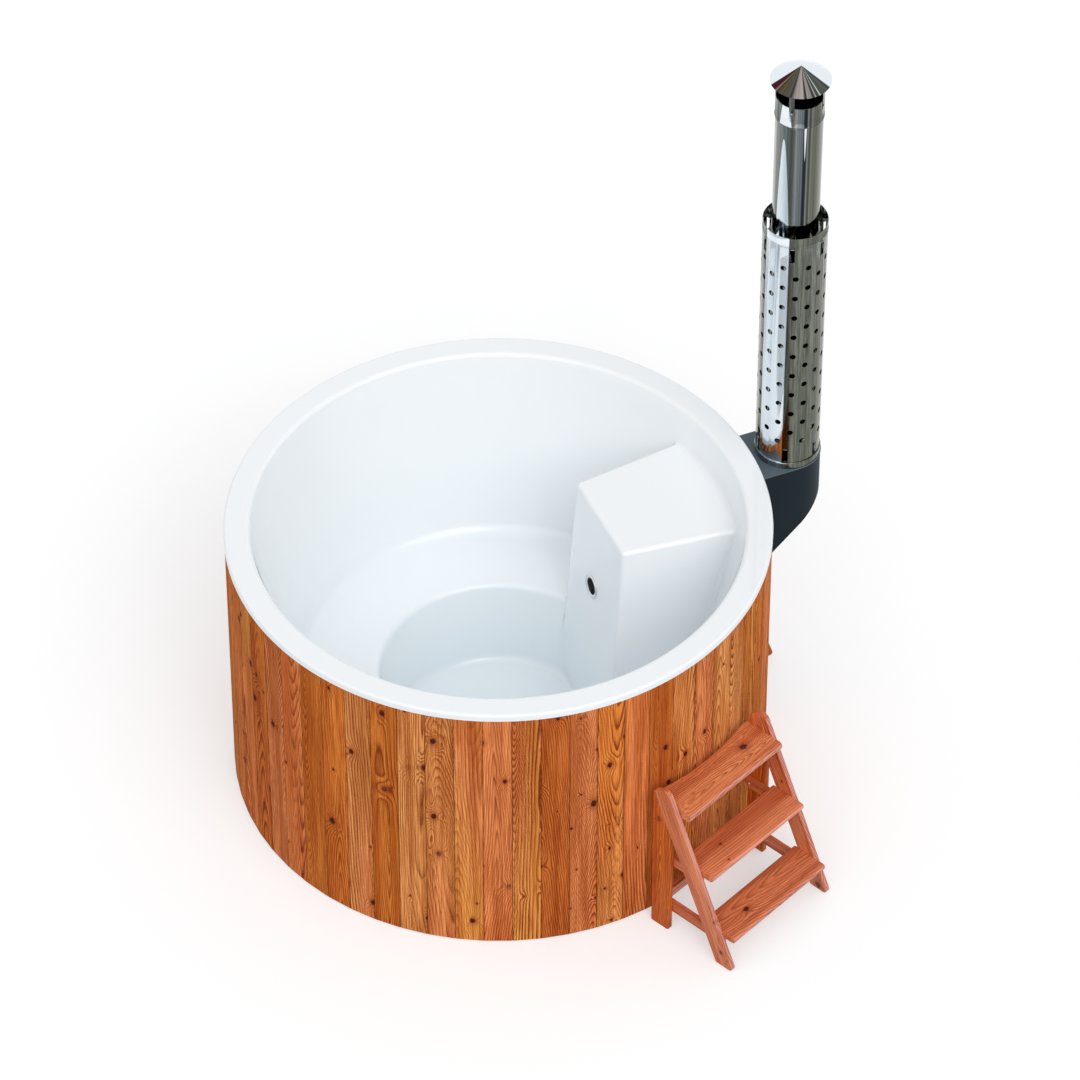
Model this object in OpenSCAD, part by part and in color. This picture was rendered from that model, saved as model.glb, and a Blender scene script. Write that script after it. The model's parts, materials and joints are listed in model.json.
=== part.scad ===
// Round timber-clad hot tub with a moulded liner, a built-in wood heater and a step ladder.
// Origin: centre of the tub on the ground. +Z is up, +X points to the heater and its chimney.

/* [Tub] */
// Outer radius of the rim
rim_r = 900; // [860:5:960]
// Height of the rim's top above the ground
rim_top = 1056; // [1030:2:1110]
// Width of the rim, from its outer edge to the bathing space
rim_w = 85; // [70:1:100]
// Depth of the rim's turned-down edge
rim_edge = 25; // [22:1:36]
// Wall thickness of the moulded liner
liner_t = 6; // [4:0.5:8]
// Height of the bench at the foot of the wall
bench_z = 388; // [360:2:410]
// Radius of the wall's foot, where the bench starts
bench_r = 658; // [640:2:690]
// Fall of the bench towards the well
bench_fall = 19; // [8:1:26]
// Radius of the bench's inner edge
well_r = 404; // [390:1:430]
// Radius of the well's floor
floor_r = 345; // [335:1:360]
// Height of the well's floor above the ground
floor_z = 75; // [72:1:84]

/* [Heater niche] */
// Height of the niche's flat top
niche_top = 930; // [900:2:960]
// Distance of the niche's front from the tub's axis, at the top
niche_front = 363; // [350:1:385]
// Width of the niche's front at the top
niche_w = 378; // [360:2:400]
// Angle by which each side of the niche opens outwards
niche_flare = 6.75; // [5:0.25:9]
// Draft of the niche's front, bottom further in
niche_draft = 3.7; // [2:0.1:4.5]
// Draft of the niche's sides
niche_side_draft = 1.84; // [1:0.02:2.5]
// Radius of the niche's edges
niche_edge = 14; // [10:1:20]

/* [Cladding] */
// Number of boards round the tub
n_boards = 60; // [60]
// Thickness of the boards
board_t = 28; // [24:1:30]
// How far the rim stands over the boards
rim_overhang = 2; // [1:0.5:4]
// Turn of the first board from the heater's axis
board_turn = 0.5; // [0:0.25:2]
// Gap of the boards above the ground
board_lift = 4; // [3:1:8]
// Thickness of the tongues
tongue_t = 8; // [6:1:10]
// Reach of the tongues
tongue_reach = 7; // [5:1:8]
// Gap in each seam and round each tongue
seam_gap = 0.3; // [0.2:0.1:0.6]

/* [Frame] */
// Thickness of the base plate
base_t = 18; // [15:1:18]
// Width of the ground bearers
bearer_w = 60; // [45:5:80]
// Spacing of the ground bearers
bearer_pitch = 300; // [280:5:310]
// Number of posts behind the cladding
n_posts = 12; // [12]
// Width of the posts
post_w = 60; // [50:2:70]
// Thickness of the posts
post_t = 40; // [34:1:42]
// Angle of the first post from the heater's axis
post_start = 24; // [23:1:28]
// Thickness of the frame hoops
hoop_t = 18; // [15:1:24]
// Width of the frame hoops
hoop_w = 34; // [28:1:38]
// Thickness of the ribs under the bench
rib_t = 18; // [15:1:24]
// Thickness of the foam on the liner's back
foam_t = 20; // [12:1:24]
// Height of the heater's timber runners
runner_h = 84; // [80:1:86]
// Width of the heater's runners
runner_w = 45; // [40:1:48]
// Distance of the runners' inner faces from the heater's axis
runner_y = 31; // [28:1:34]
// How far the long runner's foot stands out of the cladding
runner_out = 142; // [110:2:180]
// Angle of the long runner's sloped end from upright
runner_slope = 18; // [10:1:24]

/* [Heater] */
// Width of the heater's water jacket
heater_w = 330; // [316:2:336]
// Gap between the heater and the niche's front
heater_gap = 26; // [20:1:34]
// Gap between the heater and the niche's top
heater_head = 50; // [40:1:70]
// Water space round the firebox
water_gap = 40; // [34:1:46]
// Sheet thickness of the heater's jacket
jacket_t = 3; // [2:0.5:4]
// Plate thickness of the firebox
firebox_t = 4; // [3:0.5:5]
// Height of the grate above the firebox's floor
grate_rise = 92; // [88:1:104]
// Thickness of the grate
grate_t = 14; // [10:1:16]
// Height of the fire opening's lower edge
fire_z0 = 208; // [204:1:216]
// Height of the fire opening
fire_h = 310; // [290:2:320]
// Width of the fire and ash openings
fire_w = 224; // [214:2:226]
// Height of the ash opening
ash_h = 66; // [60:1:70]
// Bottom of the front plate above the runners
plate_gap = 3; // [2:0.5:6]
// Top of the front plate above the fire opening
plate_head = 68; // [50:1:72]
// Width of the front plate
plate_w = 330; // [310:2:336]
// Thickness of the front plate
plate_t = 5; // [4:0.5:6]
// How far the front plate stands out from the cladding
plate_stand = 7; // [6:0.5:9]
// Thickness of the fire door
door_t = 8; // [6:0.5:10]
// How far the door laps over its opening
door_lap = 15; // [12:1:15]
// Thickness of the door's rope seal
seal_t = 3; // [2:0.5:4]
// Radius of the hinge pins
hinge_pin_r = 4; // [3:0.25:5]
// Running clearance of pins and shafts
run_gap = 0.05; // [0.02:0.01:0.08]
// Radius of the latch's shaft
latch_shaft_r = 6; // [5:0.25:7]
// Length of the latch's wooden grip
grip_len = 96; // [80:2:110]

/* [Water ports] */
// Bore radius of the hot water port
hot_r = 30; // [26:1:36]
// Height of the hot water port
hot_z = 612; // [580:2:640]
// Sideways place of the hot water port
hot_y = 14; // [0:1:20]
// Width of the ring round the hot port
hot_lip = 11; // [6:0.5:13]
// Bore radius of the cold water port
cold_r = 22; // [18:1:24]
// Height of the cold water port
cold_z = 122; // [120:1:128]
// Sideways place of the cold water port
cold_y = -50; // [-70:1:-40]
// Wall thickness of the water pipes
pipe_t = 3; // [2:0.5:3.5]
// Width of the ring round the cold port
cold_lip = 5; // [4:0.5:7]
// Thickness of the port rings
port_ring_t = 5; // [4:0.5:7]
// Thickness of the rubber gaskets
gasket_t = 3; // [2:0.5:4]

/* [Chimney] */
// Distance of the chimney's axis from the cladding
chimney_gap = 147; // [142:1:165]
// Width of the flue box
flue_box_w = 222; // [216:1:230]
// Height of the flue box's top
flue_box_top = 1000; // [980:1:1020]
// Height of the flue box's lower edge at the cladding
flue_box_z0 = 596; // [592:1:610]
// Slope of the flue box's underside, rise over run
flue_box_slope = 0.96; // [0.9:0.01:1.02]
// Sheet thickness of the flue box
flue_sheet = 3; // [2:0.5:4]
// Thickness of the flue box's lid
lid_t = 4; // [3:0.5:6]
// Width of the smoke duct
duct_w = 140; // [120:2:150]
// Height of the smoke duct
duct_h = 120; // [100:2:126]
// Height of the smoke duct's lower edge
duct_z0 = 690; // [680:1:696]
// Outer radius of the flue pipe
flue_r = 77.5; // [74:0.5:80]
// Wall thickness of the flue pipe
flue_t = 1.5; // [1:0.25:2.5]
// Height of the flue pipe's top
flue_top = 2518; // [2400:2:2600]
// Outer radius of the heat shield
shield_r = 106.5; // [102:0.5:107]
// Wall thickness of the heat shield
shield_t = 1.2; // [1:0.1:2]
// Height of the heat shield's top
shield_top = 2002; // [1996:1:2030]
// Radius of the heat shield's holes
hole_r = 10; // [7:0.5:12]
// Columns of holes round the shield
hole_columns = 16; // [16]
// Rows of holes in each full column
hole_rows = 10; // [10]
// Pitch of the holes along a column
hole_pitch = 84; // [78:1:86]
// Height of the lowest hole
hole_z0 = 1118; // [1112:1:1122]
// Width of the slots near both ends of the shield
slot_w = 17; // [14:0.5:20]
// Height of the slots
slot_h = 56; // [48:1:58]
// Distance from the shield's top down to its seam
seam_drop = 33; // [26:1:36]
// Height of the chrome collar
collar_h = 24; // [18:1:30]
// Radius of the rain cap's cone
cap_r = 98.5; // [92:0.5:106]
// Height of the rain cap's cone
cap_h = 56; // [44:1:64]
// Gap between the flue pipe and the cap's cone
cap_gap = 60; // [50:1:70]
// Length of the cap's sleeve
sleeve_len = 78; // [60:1:90]

/* [Drain] */
// Distance of the drain from the tub's axis, away from the heater
drain_x = 150; // [140:1:160]
// Radius of the drain's through fitting
drain_r = 25; // [23:0.5:28]
// Outer radius of the drain pipe
drain_pipe_r = 16; // [14:0.5:17]
// Wall of the drain pipe
drain_pipe_t = 2; // [1.5:0.25:2.5]
// Height of the drain pipe's axis
drain_pipe_z = 29; // [28:0.5:30]
// Length of the hose tail's plain end
tail_len = 45; // [35:1:60]

/* [Steps] */
// Direction of the steps round the tub, from the heater
steps_turn = -66; // [-90:1:-50]
// Overall width of the steps
steps_w = 494; // [440:2:560]
// Gap between the steps' legs and the cladding
steps_gap = 9; // [6:1:16]
// Distance from the back of the legs to the stringers' front foot
steps_reach = 359; // [330:1:400]
// Thickness of the steps' boards
step_board_t = 20; // [18:1:24]
// Width of the stringers
stringer_w = 68; // [60:1:76]
// Distance from the back of the legs to the stringers' upper front corner
stringer_head = 60; // [54:1:66]
// Height of the stringers' upper front corner above the top tread
stringer_over = 72; // [60:1:84]
// Width of the rear legs
leg_w = 76; // [66:1:80]
// Height of the lowest tread
tread_first = 136; // [130:1:150]
// Rise from tread to tread
tread_rise = 217; // [205:1:225]
// Depth of the lower treads
tread_depth = 136; // [126:1:146]
// Thickness of the lower treads
tread_t = 24; // [20:1:28]
// Thickness of the top tread
top_tread_t = 32; // [28:1:36]
// How far the treads stand in front of the stringers
tread_nose = 50; // [40:1:56]
// Gap between the top tread and the cladding
tread_gap = 20; // [12:1:22]
// Height of the rails under the treads
rail_h = 36; // [30:1:42]

/* [Hidden] */

big_fn = 180;       // rim, liner and other wide rounds
fine_fn = 64;       // pipes
small_fn = 32;      // pins, screws and holes
arc_steps = 8;      // steps in a rounded corner of an outline

white = "#eef2f4";
larch = "#c0692f";
pine = "#c9905a";
ply = "#b98a58";
foam = "#e0cf98";
steel = "#b9bcc0";
mirror_steel = "#cfd3d8";
iron = "#2e3134";
anthracite = "#27323a";
black_rubber = "#1d1d1f";
brass = "#b08d3c";
step_red = "#b5623a";

// ---- Outlines with rounded corners. A corner is [x, y, radius]. ----

function unit(v) = v / norm(v);
function left_of(v) = [-v[1], v[0]];
function flat(p) = [p[0], p[1]];
function cross2(a, b) = a[0] * b[1] - a[1] * b[0];
function short_turn(a) = a > 180 ? a - 360 : (a < -180 ? a + 360 : a);

// Points of the arc that rounds corner b between a and c
function corner_arc(a, b, c, r) =
    let (
        u = unit(a - b),
        v = unit(c - b),
        half = acos(max(-1, min(1, u * v))) / 2,
        centre = b + unit(u + v) * r / sin(half),
        from = b + u * r / tan(half) - centre,
        to = b + v * r / tan(half) - centre,
        start = atan2(from[1], from[0]),
        turn = short_turn(atan2(to[1], to[0]) - start)
    )
    [for (i = [0 : arc_steps])
        centre + r * [cos(start + turn * i / arc_steps), sin(start + turn * i / arc_steps)]];

// An open path with its inner corners rounded
function rounded_path(c) = [
    for (i = [0 : len(c) - 1])
        if (i == 0 || i == len(c) - 1 || c[i][2] == 0) flat(c[i])
        else each corner_arc(flat(c[i - 1]), flat(c[i]), flat(c[i + 1]), c[i][2])
];

// A closed outline with its corners rounded
function rounded_outline(c) =
    let (n = len(c))
    [for (i = [0 : n - 1])
        if (c[i][2] == 0) flat(c[i])
        else each corner_arc(flat(c[(i + n - 1) % n]), flat(c[i]), flat(c[(i + 1) % n]), c[i][2])];

// The same path moved to its right by t, with each corner's radius kept parallel
function path_to_right(c, t) = [
    for (i = [0 : len(c) - 1])
        let (
            before = i == 0 ? flat(c[1]) - flat(c[0]) : flat(c[i]) - flat(c[i - 1]),
            after = i == len(c) - 1 ? before : flat(c[i + 1]) - flat(c[i]),
            n1 = -left_of(unit(before)),
            n2 = -left_of(unit(after)),
            side = cross2(before, after) > 0 ? 1 : -1,
            p = flat(c[i]) + t * (n1 + n2) / (1 + n1 * n2)
        )
        [p[0], p[1], c[i][2] == 0 ? 0 : max(1, c[i][2] + side * t)]
];

function reversed(list) = [for (i = [len(list) - 1 : -1 : 0]) list[i]];

// ---- The liner's section, from the middle of the floor to the rim's edge ----

wall_in_r = rim_r - rim_w;
liner_corners = [
    [0, floor_z, 0],
    [floor_r, floor_z, 40],
    [well_r, bench_z - bench_fall, 24],
    [bench_r, bench_z, 60],
    [wall_in_r, rim_top, 16],
    [rim_r, rim_top, 9],
    [rim_r, rim_top - rim_edge, 0]
];
inner_path = rounded_path(liner_corners);
outer_path = rounded_path(path_to_right(liner_corners, liner_t));
rim_start = 4 * (arc_steps + 1);    // last point before the flat of the rim
tub_envelope = concat(
    outer_path,
    reversed([for (i = [rim_start + 1 : len(inner_path) - 1]) inner_path[i]]),
    [[0, rim_top]]
);
tub_cavity = concat(
    [for (i = [0 : rim_start]) inner_path[i]],
    [[inner_path[rim_start][0], rim_top + 1], [0, rim_top + 1]]
);
wall_slope = (wall_in_r - bench_r) / (rim_top - bench_z);
liner_wall = liner_t * sqrt(1 + wall_slope * wall_slope);
function wall_r(z) = bench_r + wall_slope * (z - bench_z);
function wall_back(z) = wall_r(z) + liner_wall;
function bench_under(r) =
    bench_z - liner_t - bench_fall * (bench_r - r) / (bench_r - well_r) - 0.5;

// ---- Places worked out from the sizes above ----

board_r = rim_r - rim_overhang;                     // seams of the boards' faces
board_half = 180 / n_boards;
board_face = board_r * cos(board_half);             // flat faces of the boards
board_back = board_face - board_t;
board_top = rim_top - rim_edge;
base_z1 = floor_z - liner_t;
base_z0 = base_z1 - base_t;

function niche_x(z) = niche_front - (niche_top - z) * tan(niche_draft);
function niche_half(x, z) =
    niche_w / 2 + (niche_top - z) * tan(niche_side_draft) + (x - niche_front) * tan(niche_flare);

heater_x0 = niche_front + liner_t + heater_gap;
heater_x1 = sqrt(board_back * board_back - heater_w * heater_w / 4) - 5;
heater_top = niche_top - liner_t - heater_head;
firebox_w = heater_w - 2 * water_gap;
firebox_x0 = heater_x0 + water_gap;
firebox_z0 = runner_h + 14;
firebox_top = heater_top - water_gap;
grate_z = firebox_z0 + firebox_t + grate_rise;
plate_x = board_r + plate_stand;                    // outer face of the front plate
plate_z0 = runner_h + plate_gap;
plate_z1 = fire_z0 + fire_h + plate_head;
neck_top = fire_z0 + fire_h + 14;
ash_z0 = firebox_z0 + firebox_t + 1;
hatch_w = firebox_w + 36;
door_x = plate_x + seal_t;
door_half = fire_w / 2 + door_lap;
hinge_y = -(door_half + 11);
hinge_x = door_x + door_t / 2;
latch_y = 84;
latch_z = fire_z0 + fire_h / 2;

chimney_x = board_r + chimney_gap;
lid_z0 = flue_box_top - lid_t;
slope_angle = atan(flue_box_slope);
sleeve_gap = 0.4;
sleeve_r = flue_r + sleeve_gap;
cap_z = flue_top + cap_gap;

function tread_z(i) = tread_first + i * tread_rise;
inner_half = steps_w / 2 - step_board_t;
leg_back = board_r + steps_gap;
stringer_top = [leg_back + stringer_head, tread_z(2) + stringer_over];
stringer_lean = atan((steps_reach - stringer_head) / stringer_top[1]);
function stringer_front(z) = leg_back + steps_reach - z * tan(stringer_lean);
function stringer_back(z) = stringer_front(z) - stringer_w / cos(stringer_lean);

// ---- Shapes used by more than one piece ----

module spun(points, fn = big_fn) {
    rotate_extrude($fn = fn) polygon(points);
}

module tube(r, wall, h, fn = fine_fn) {
    difference() {
        cylinder(r = r, h = h, $fn = fn);
        translate([0, 0, -1]) cylinder(r = r - wall, h = h + 2, $fn = fn);
    }
}

// A box from corner a to corner b
module block(a, b) {
    translate(a) cube(b - a);
}

// A disc whose edge follows the flat backs of the boards
module boarded_disc(h) {
    linear_extrude(h)
        polygon([for (i = [0 : n_boards - 1])
            let (a = board_turn + (2 * i + 1) * board_half)
            board_back / cos(board_half) * [cos(a), sin(a)]]);
}

// The niche's block, drawn in by inset on every side
module niche(inset) {
    r = niche_edge - inset;
    low = base_z0 - 20;
    far = rim_r;
    hull()
        for (z = [low, niche_top - niche_edge], side = [-1, 1], x = [niche_x(z) + niche_edge, far])
            translate([x, side * (niche_half(x - niche_edge, z) - niche_edge), z])
                sphere(r = r, $fn = 16);
}

// Children placed on the niche's front at height z, their +Z pointing into the tub
module at_port(y, z) {
    translate([niche_x(z), y, z]) rotate([0, -90 + niche_draft, 0]) children();
}

module at_hot_port() {
    at_port(hot_y, hot_z) children();
}

module at_cold_port() {
    at_port(cold_y, cold_z) children();
}

// ---- Liner and frame ----

module liner() {
    color(white)
    difference() {
        spun(tub_envelope);
        niche(liner_t);
        difference() {
            spun(tub_cavity);
            niche(0);
        }
        at_hot_port() translate([0, 0, -40])
            cylinder(r = hot_r + pipe_t + 0.5, h = 60, $fn = fine_fn);
        at_cold_port() translate([0, 0, -40])
            cylinder(r = cold_r + pipe_t + 0.5, h = 60, $fn = fine_fn);
        translate([-drain_x, 0, base_z0])
            cylinder(r = drain_r + 0.5, h = floor_z, $fn = fine_fn);
    }
}

ring_gap = 12;       // from the liner's wall to the ring under its rim

module rim_ring() {
    inner = wall_back(rim_top) + ring_gap;
    color(ply)
    translate([0, 0, board_top])
        difference() {
            cylinder(r = rim_r - liner_t - 3, h = rim_edge - liner_t, $fn = big_fn);
            translate([0, 0, -1]) cylinder(r = inner, h = rim_edge, $fn = big_fn);
        }
}

module post(gap = 0) {
    block(
        [board_back - post_t - gap, -post_w / 2 - gap, base_z1 - gap],
        [board_back * cos(board_half) - 0.5 + gap, post_w / 2 + gap, board_top + gap]
    );
}

module each_post(gap = 0) {
    for (i = [0 : n_posts - 1])
        rotate([0, 0, post_start + i * (360 - 2 * post_start) / (n_posts - 1)]) post(gap);
}

module wall_posts() {
    color(pine) each_post();
}

module frame_hoops() {
    color(ply)
    for (z = [bench_z - 30, (bench_z + board_top) / 2 + 20])
        difference() {
            translate([0, 0, z]) boarded_disc(hoop_t);
            translate([0, 0, z - 1]) cylinder(r = board_back - hoop_w, h = hoop_t + 2, $fn = big_fn);
            each_post(0.5);
            block([0, -niche_half(rim_r, 0) - 10, z - 1], [rim_r, niche_half(rim_r, 0) + 10, z + hoop_t + 1]);
        }
}

module bench_ribs() {
    foot = floor_r + 24;
    head = well_r + 12;
    out = bench_r - 8;
    outline = [
        [foot, base_z1], [head, bench_under(head) - 8], [head + 8, bench_under(head + 8)],
        [out, bench_under(out)], [out, base_z1]
    ];
    color(ply)
    for (a = [45 : 30 : 315])
        rotate([0, 0, a]) rotate([90, 0, 0])
            translate([0, 0, -rib_t / 2]) linear_extrude(rib_t)
                difference() {
                    polygon(outline);
                    translate([(head + out) / 2, (base_z1 + bench_z) / 2]) circle(r = 55, $fn = fine_fn);
                }
}

module base_plate() {
    side = heater_w / 2 + 18;
    color(ply)
    translate([0, 0, base_z0])
        difference() {
            boarded_disc(base_t);
            block([heater_x0 - 16, -side, -1], [rim_r, side, base_t + 1]);
            translate([-drain_x, 0, -1]) cylinder(r = drain_r + 14, h = base_t + 2, $fn = fine_fn);
        }
}

// Length of a bearer that stays inside the boards, at distance x from the axis
function bearer_half(x) = sqrt(pow(board_back - 4, 2) - pow(abs(x) + bearer_w / 2, 2));

module ground_bearers() {
    side = heater_w / 2 + 20;
    color(pine) {
        for (i = [-2 : 1])
            let (x = i * bearer_pitch)
            block([x - bearer_w / 2, -bearer_half(x), 0], [x + bearer_w / 2, bearer_half(x), base_z0]);
        for (s = [-1, 1])
            let (x = 2 * bearer_pitch, a = s * side, b = s * bearer_half(x))
            block([x - bearer_w / 2, min(a, b), 0], [x + bearer_w / 2, max(a, b), base_z0]);
    }
}

module heater_runners() {
    x0 = heater_x0 - 8;
    short = sqrt(pow(board_back, 2) - pow(runner_y + runner_w, 2)) - 2;
    tip = rounded_outline([
        [x0, 0, 0],
        [board_r + runner_out, 0, 12],
        [board_r + runner_out - runner_h * tan(runner_slope), runner_h, 6],
        [x0, runner_h, 0]
    ]);
    color(larch) {
        translate([0, runner_y + runner_w, 0]) rotate([90, 0, 0]) linear_extrude(runner_w) polygon(tip);
        block([x0, -runner_y - runner_w, 0], [short, -runner_y, runner_h]);
    }
}

module foam_jacket() {
    z0 = bench_z + 12;
    z1 = board_top - 66;
    a = wall_back(z0) + 1;
    b = wall_back(z1) + 1;
    side = niche_half(rim_r, z0) + 6;
    color(foam)
    difference() {
        spun([[a, z0], [a + foam_t, z0], [b + foam_t, z1], [b, z1]]);
        block([0, -side, z0 - 1], [rim_r, side, z1 + 1]);
    }
}

// ---- Cladding ----

// A point of a board's edge: r along the seam, out past it towards side
function seam_point(r, out, side) =
    [r * cos(board_half) - out * sin(board_half), side * (r * sin(board_half) + out * cos(board_half))];

tongue_mid = board_face - board_t / 2;
groove_gap = 2 * seam_gap;
back_corner = (board_back + seam_gap / 2 * sin(board_half)) / cos(board_half);
// Section of one board: bevelled face, tongue on one side and groove on the other
board_section = concat(
    [seam_point(back_corner, -seam_gap / 2, -1)],
    [for (p = [
        [-1, 0], [-1, 1], [1, 1], [1, 0]
    ]) seam_point(
        tongue_mid + p[0] * (tongue_t / 2 + groove_gap),
        -seam_gap / 2 - p[1] * (tongue_reach + groove_gap), -1
    )],
    [
        seam_point(board_r - 2, -seam_gap / 2, -1),
        [board_face, -board_face * tan(board_half) + 2],
        [board_face, board_face * tan(board_half) - 2],
        seam_point(board_r - 2, -seam_gap / 2, 1)
    ],
    [for (p = [
        [1, 0], [1, 1], [-1, 1], [-1, 0]
    ]) seam_point(
        tongue_mid + p[0] * tongue_t / 2,
        -seam_gap / 2 + p[1] * tongue_reach, 1
    )],
    [seam_point(back_corner, -seam_gap / 2, 1)]
);

// What is cut out of the cladding for the heater, the smoke duct, the runner and the drain
module cladding_cuts() {
    x0 = board_back - 20;
    block([x0, -hatch_w / 2, plate_z0 + 10], [rim_r, hatch_w / 2, plate_z1 - 14]);
    block([x0, -duct_w / 2 - 5, duct_z0 - 5], [rim_r, duct_w / 2 + 5, duct_z0 + duct_h + 5]);
    block([x0, runner_y - 1, -1], [rim_r, runner_y + runner_w + 1, runner_h + 1]);
    translate([-drain_x, board_back - 60, drain_pipe_z]) rotate([-90, 0, 0])
        cylinder(r = drain_pipe_r + 2, h = 120, $fn = fine_fn);
}

// Boards of the cladding, by their numbers round the tub
module boards(numbers) {
    color(larch)
    difference() {
        for (i = numbers)
            rotate([0, 0, board_turn + 2 * i * board_half])
                translate([0, 0, board_lift]) linear_extrude(board_top - board_lift)
                    polygon(board_section);
        cladding_cuts();
    }
}

// The boards that the hatch and the smoke duct cut, and the rest in sixths
hatch_boards = [-1 : 1];
function in_hatch(i) = i <= 1 || i >= n_boards - 1;

module cladding(sixth) {
    count = n_boards / 6;
    boards([for (i = [sixth * count : (sixth + 1) * count - 1]) if (!in_hatch(i)) i]);
}

// ---- Drain ----

valve_y = board_r + 30;
valve_len = 62;
valve_r = drain_pipe_r + 8;
ball_r = drain_pipe_r + 3;
valve_bore = drain_pipe_r - drain_pipe_t;

module along_drain(y) {
    translate([-drain_x, y, drain_pipe_z]) rotate([-90, 0, 0]) children();
}

module drain_strainer() {
    r = drain_r + 12;
    z = floor_z + gasket_t + 3;
    color(steel)
    translate([-drain_x, 0, z])
        difference() {
            spun([[0, 0], [r, 0], [r, 2], [r - 4, 5], [0, 7]], fine_fn);
            for (a = [0 : 45 : 315])
                rotate([0, 0, a]) block([10, -2, -1], [drain_r, 2, 8]);
            translate([0, 0, -1]) cylinder(r = 5, h = 10, $fn = small_fn);
        }
}

module drain_fitting() {
    bottom = drain_pipe_z - drain_pipe_r - 5;
    color(steel)
    difference() {
        union() {
            translate([-drain_x, 0, bottom]) cylinder(r = drain_r, h = floor_z - bottom, $fn = fine_fn);
            translate([-drain_x, 0, floor_z + gasket_t]) cylinder(r = drain_r + 12, h = 3, $fn = fine_fn);
            translate([-drain_x, 0, floor_z]) cylinder(r = drain_r, h = gasket_t + 1, $fn = fine_fn);
            translate([-drain_x, 0, base_z1 - 8]) cylinder(r = drain_r + 10, h = 8, $fn = 6);
        }
        translate([-drain_x, 0, bottom + 3]) cylinder(r = drain_r - 4, h = floor_z, $fn = fine_fn);
        along_drain(0) cylinder(r = drain_pipe_r, h = 60, $fn = fine_fn);
    }
}

module drain_gasket() {
    color(black_rubber)
    translate([-drain_x, 0, floor_z])
        difference() {
            cylinder(r = drain_r + 11, h = gasket_t, $fn = fine_fn);
            translate([0, 0, -1]) cylinder(r = drain_r, h = gasket_t + 2, $fn = fine_fn);
        }
}

module drain_pipe() {
    start = drain_r - 3;
    color(steel) along_drain(start) tube(drain_pipe_r, drain_pipe_t, valve_y - start);
}

module valve_body() {
    color(brass)
    difference() {
        union() {
            along_drain(valve_y) cylinder(r = valve_r - 3, h = valve_len, $fn = fine_fn);
            along_drain(valve_y + 9) cylinder(r = valve_r, h = valve_len - 18, $fn = fine_fn);
            translate([-drain_x, valve_y + valve_len / 2, drain_pipe_z])
                cylinder(r = 9, h = valve_r + 5, $fn = small_fn);
        }
        along_drain(valve_y - 1) cylinder(r = valve_bore, h = valve_len + 2, $fn = fine_fn);
        translate([-drain_x, valve_y + valve_len / 2, drain_pipe_z]) {
            sphere(r = ball_r + 2 * run_gap, $fn = fine_fn);
            cylinder(r = 5 + run_gap, h = valve_r + 10, $fn = small_fn);
        }
    }
}

module valve_ball() {
    color(steel)
    translate([-drain_x, valve_y + valve_len / 2, drain_pipe_z])
        difference() {
            union() {
                sphere(r = ball_r, $fn = fine_fn);
                cylinder(r = 5, h = valve_r + 8, $fn = small_fn);
            }
            rotate([0, 90, 0]) translate([0, 0, -ball_r - 1])
                cylinder(r = valve_bore, h = 2 * ball_r + 2, $fn = fine_fn);
        }
}

module valve_lever() {
    color("#9c2320")
    translate([-drain_x, valve_y + valve_len / 2, drain_pipe_z + valve_r + 5.5])
        difference() {
            linear_extrude(3)
                polygon(rounded_outline([[-12, -12, 10], [14, -12, 6], [30, -8, 6], [88, -8, 7],
                    [88, 8, 7], [30, 8, 6], [14, 12, 6], [-12, 12, 10]]));
            translate([0, 0, -1]) cylinder(r = 5, h = 5, $fn = small_fn);
        }
}

module hose_tail() {
    y = valve_y + valve_len;
    color(brass)
    difference() {
        union() {
            along_drain(y) cylinder(r = valve_r - 3, h = 9, $fn = 6);
            along_drain(y + 8) cylinder(r = drain_pipe_r, h = tail_len + 1, $fn = fine_fn);
        }
        along_drain(y - 1) cylinder(r = valve_bore - 1, h = tail_len + 20, $fn = fine_fn);
    }
}

// ---- Heater ----

module water_jacket() {
    h = heater_w / 2;
    t = jacket_t;
    color(steel)
    difference() {
        block([heater_x0, -h, runner_h], [heater_x1, h, heater_top]);
        block([heater_x0 + t, -h + t, runner_h + t], [heater_x1 - t, h - t, heater_top - t]);
        block([heater_x1 - t - 1, -firebox_w / 2, firebox_z0], [heater_x1 + 1, firebox_w / 2, neck_top]);
        block([heater_x1 - t - 1, -duct_w / 2, duct_z0], [heater_x1 + 1, duct_w / 2, duct_z0 + duct_h]);
        at_hot_port() translate([0, 0, -200]) cylinder(r = hot_r + pipe_t, h = 200, $fn = fine_fn);
        at_cold_port() translate([0, 0, -200]) cylinder(r = cold_r + pipe_t, h = 200, $fn = fine_fn);
    }
}

baffle_gap = 130;    // way for the flames behind the baffle
baffle_drop = 44;    // from the smoke duct down to the baffle
baffle_t = 6;

module firebox() {
    w = firebox_w / 2;
    t = firebox_t;
    front = heater_x1 - jacket_t;
    mouth = plate_x - plate_t;
    color(iron) {
        difference() {
            union() {
                block([firebox_x0, -w, firebox_z0], [front, w, firebox_top]);
                block([front - 1, -w, firebox_z0], [mouth, w, neck_top]);
            }
            block([firebox_x0 + t, -w + t, firebox_z0 + t], [front - t, w - t, firebox_top - t]);
            block([front - t - 1, -w + t, firebox_z0 + t], [mouth + 1, w - t, neck_top - t]);
            block([front - t - 1, -duct_w / 2, duct_z0], [front + 1, duct_w / 2, duct_z0 + duct_h]);
        }
        // ledges under the grate, and the baffle that sends the smoke to the back first
        for (s = [-1, 1])
            block([firebox_x0 + t, s > 0 ? w - t - 14 : -w + t, grate_z - 4],
                  [front - t, s > 0 ? w - t : -w + t + 14, grate_z]);
        block([firebox_x0 + baffle_gap, -w + t, duct_z0 - baffle_drop - baffle_t],
              [front - t, w - t, duct_z0 - baffle_drop]);
    }
}

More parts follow.
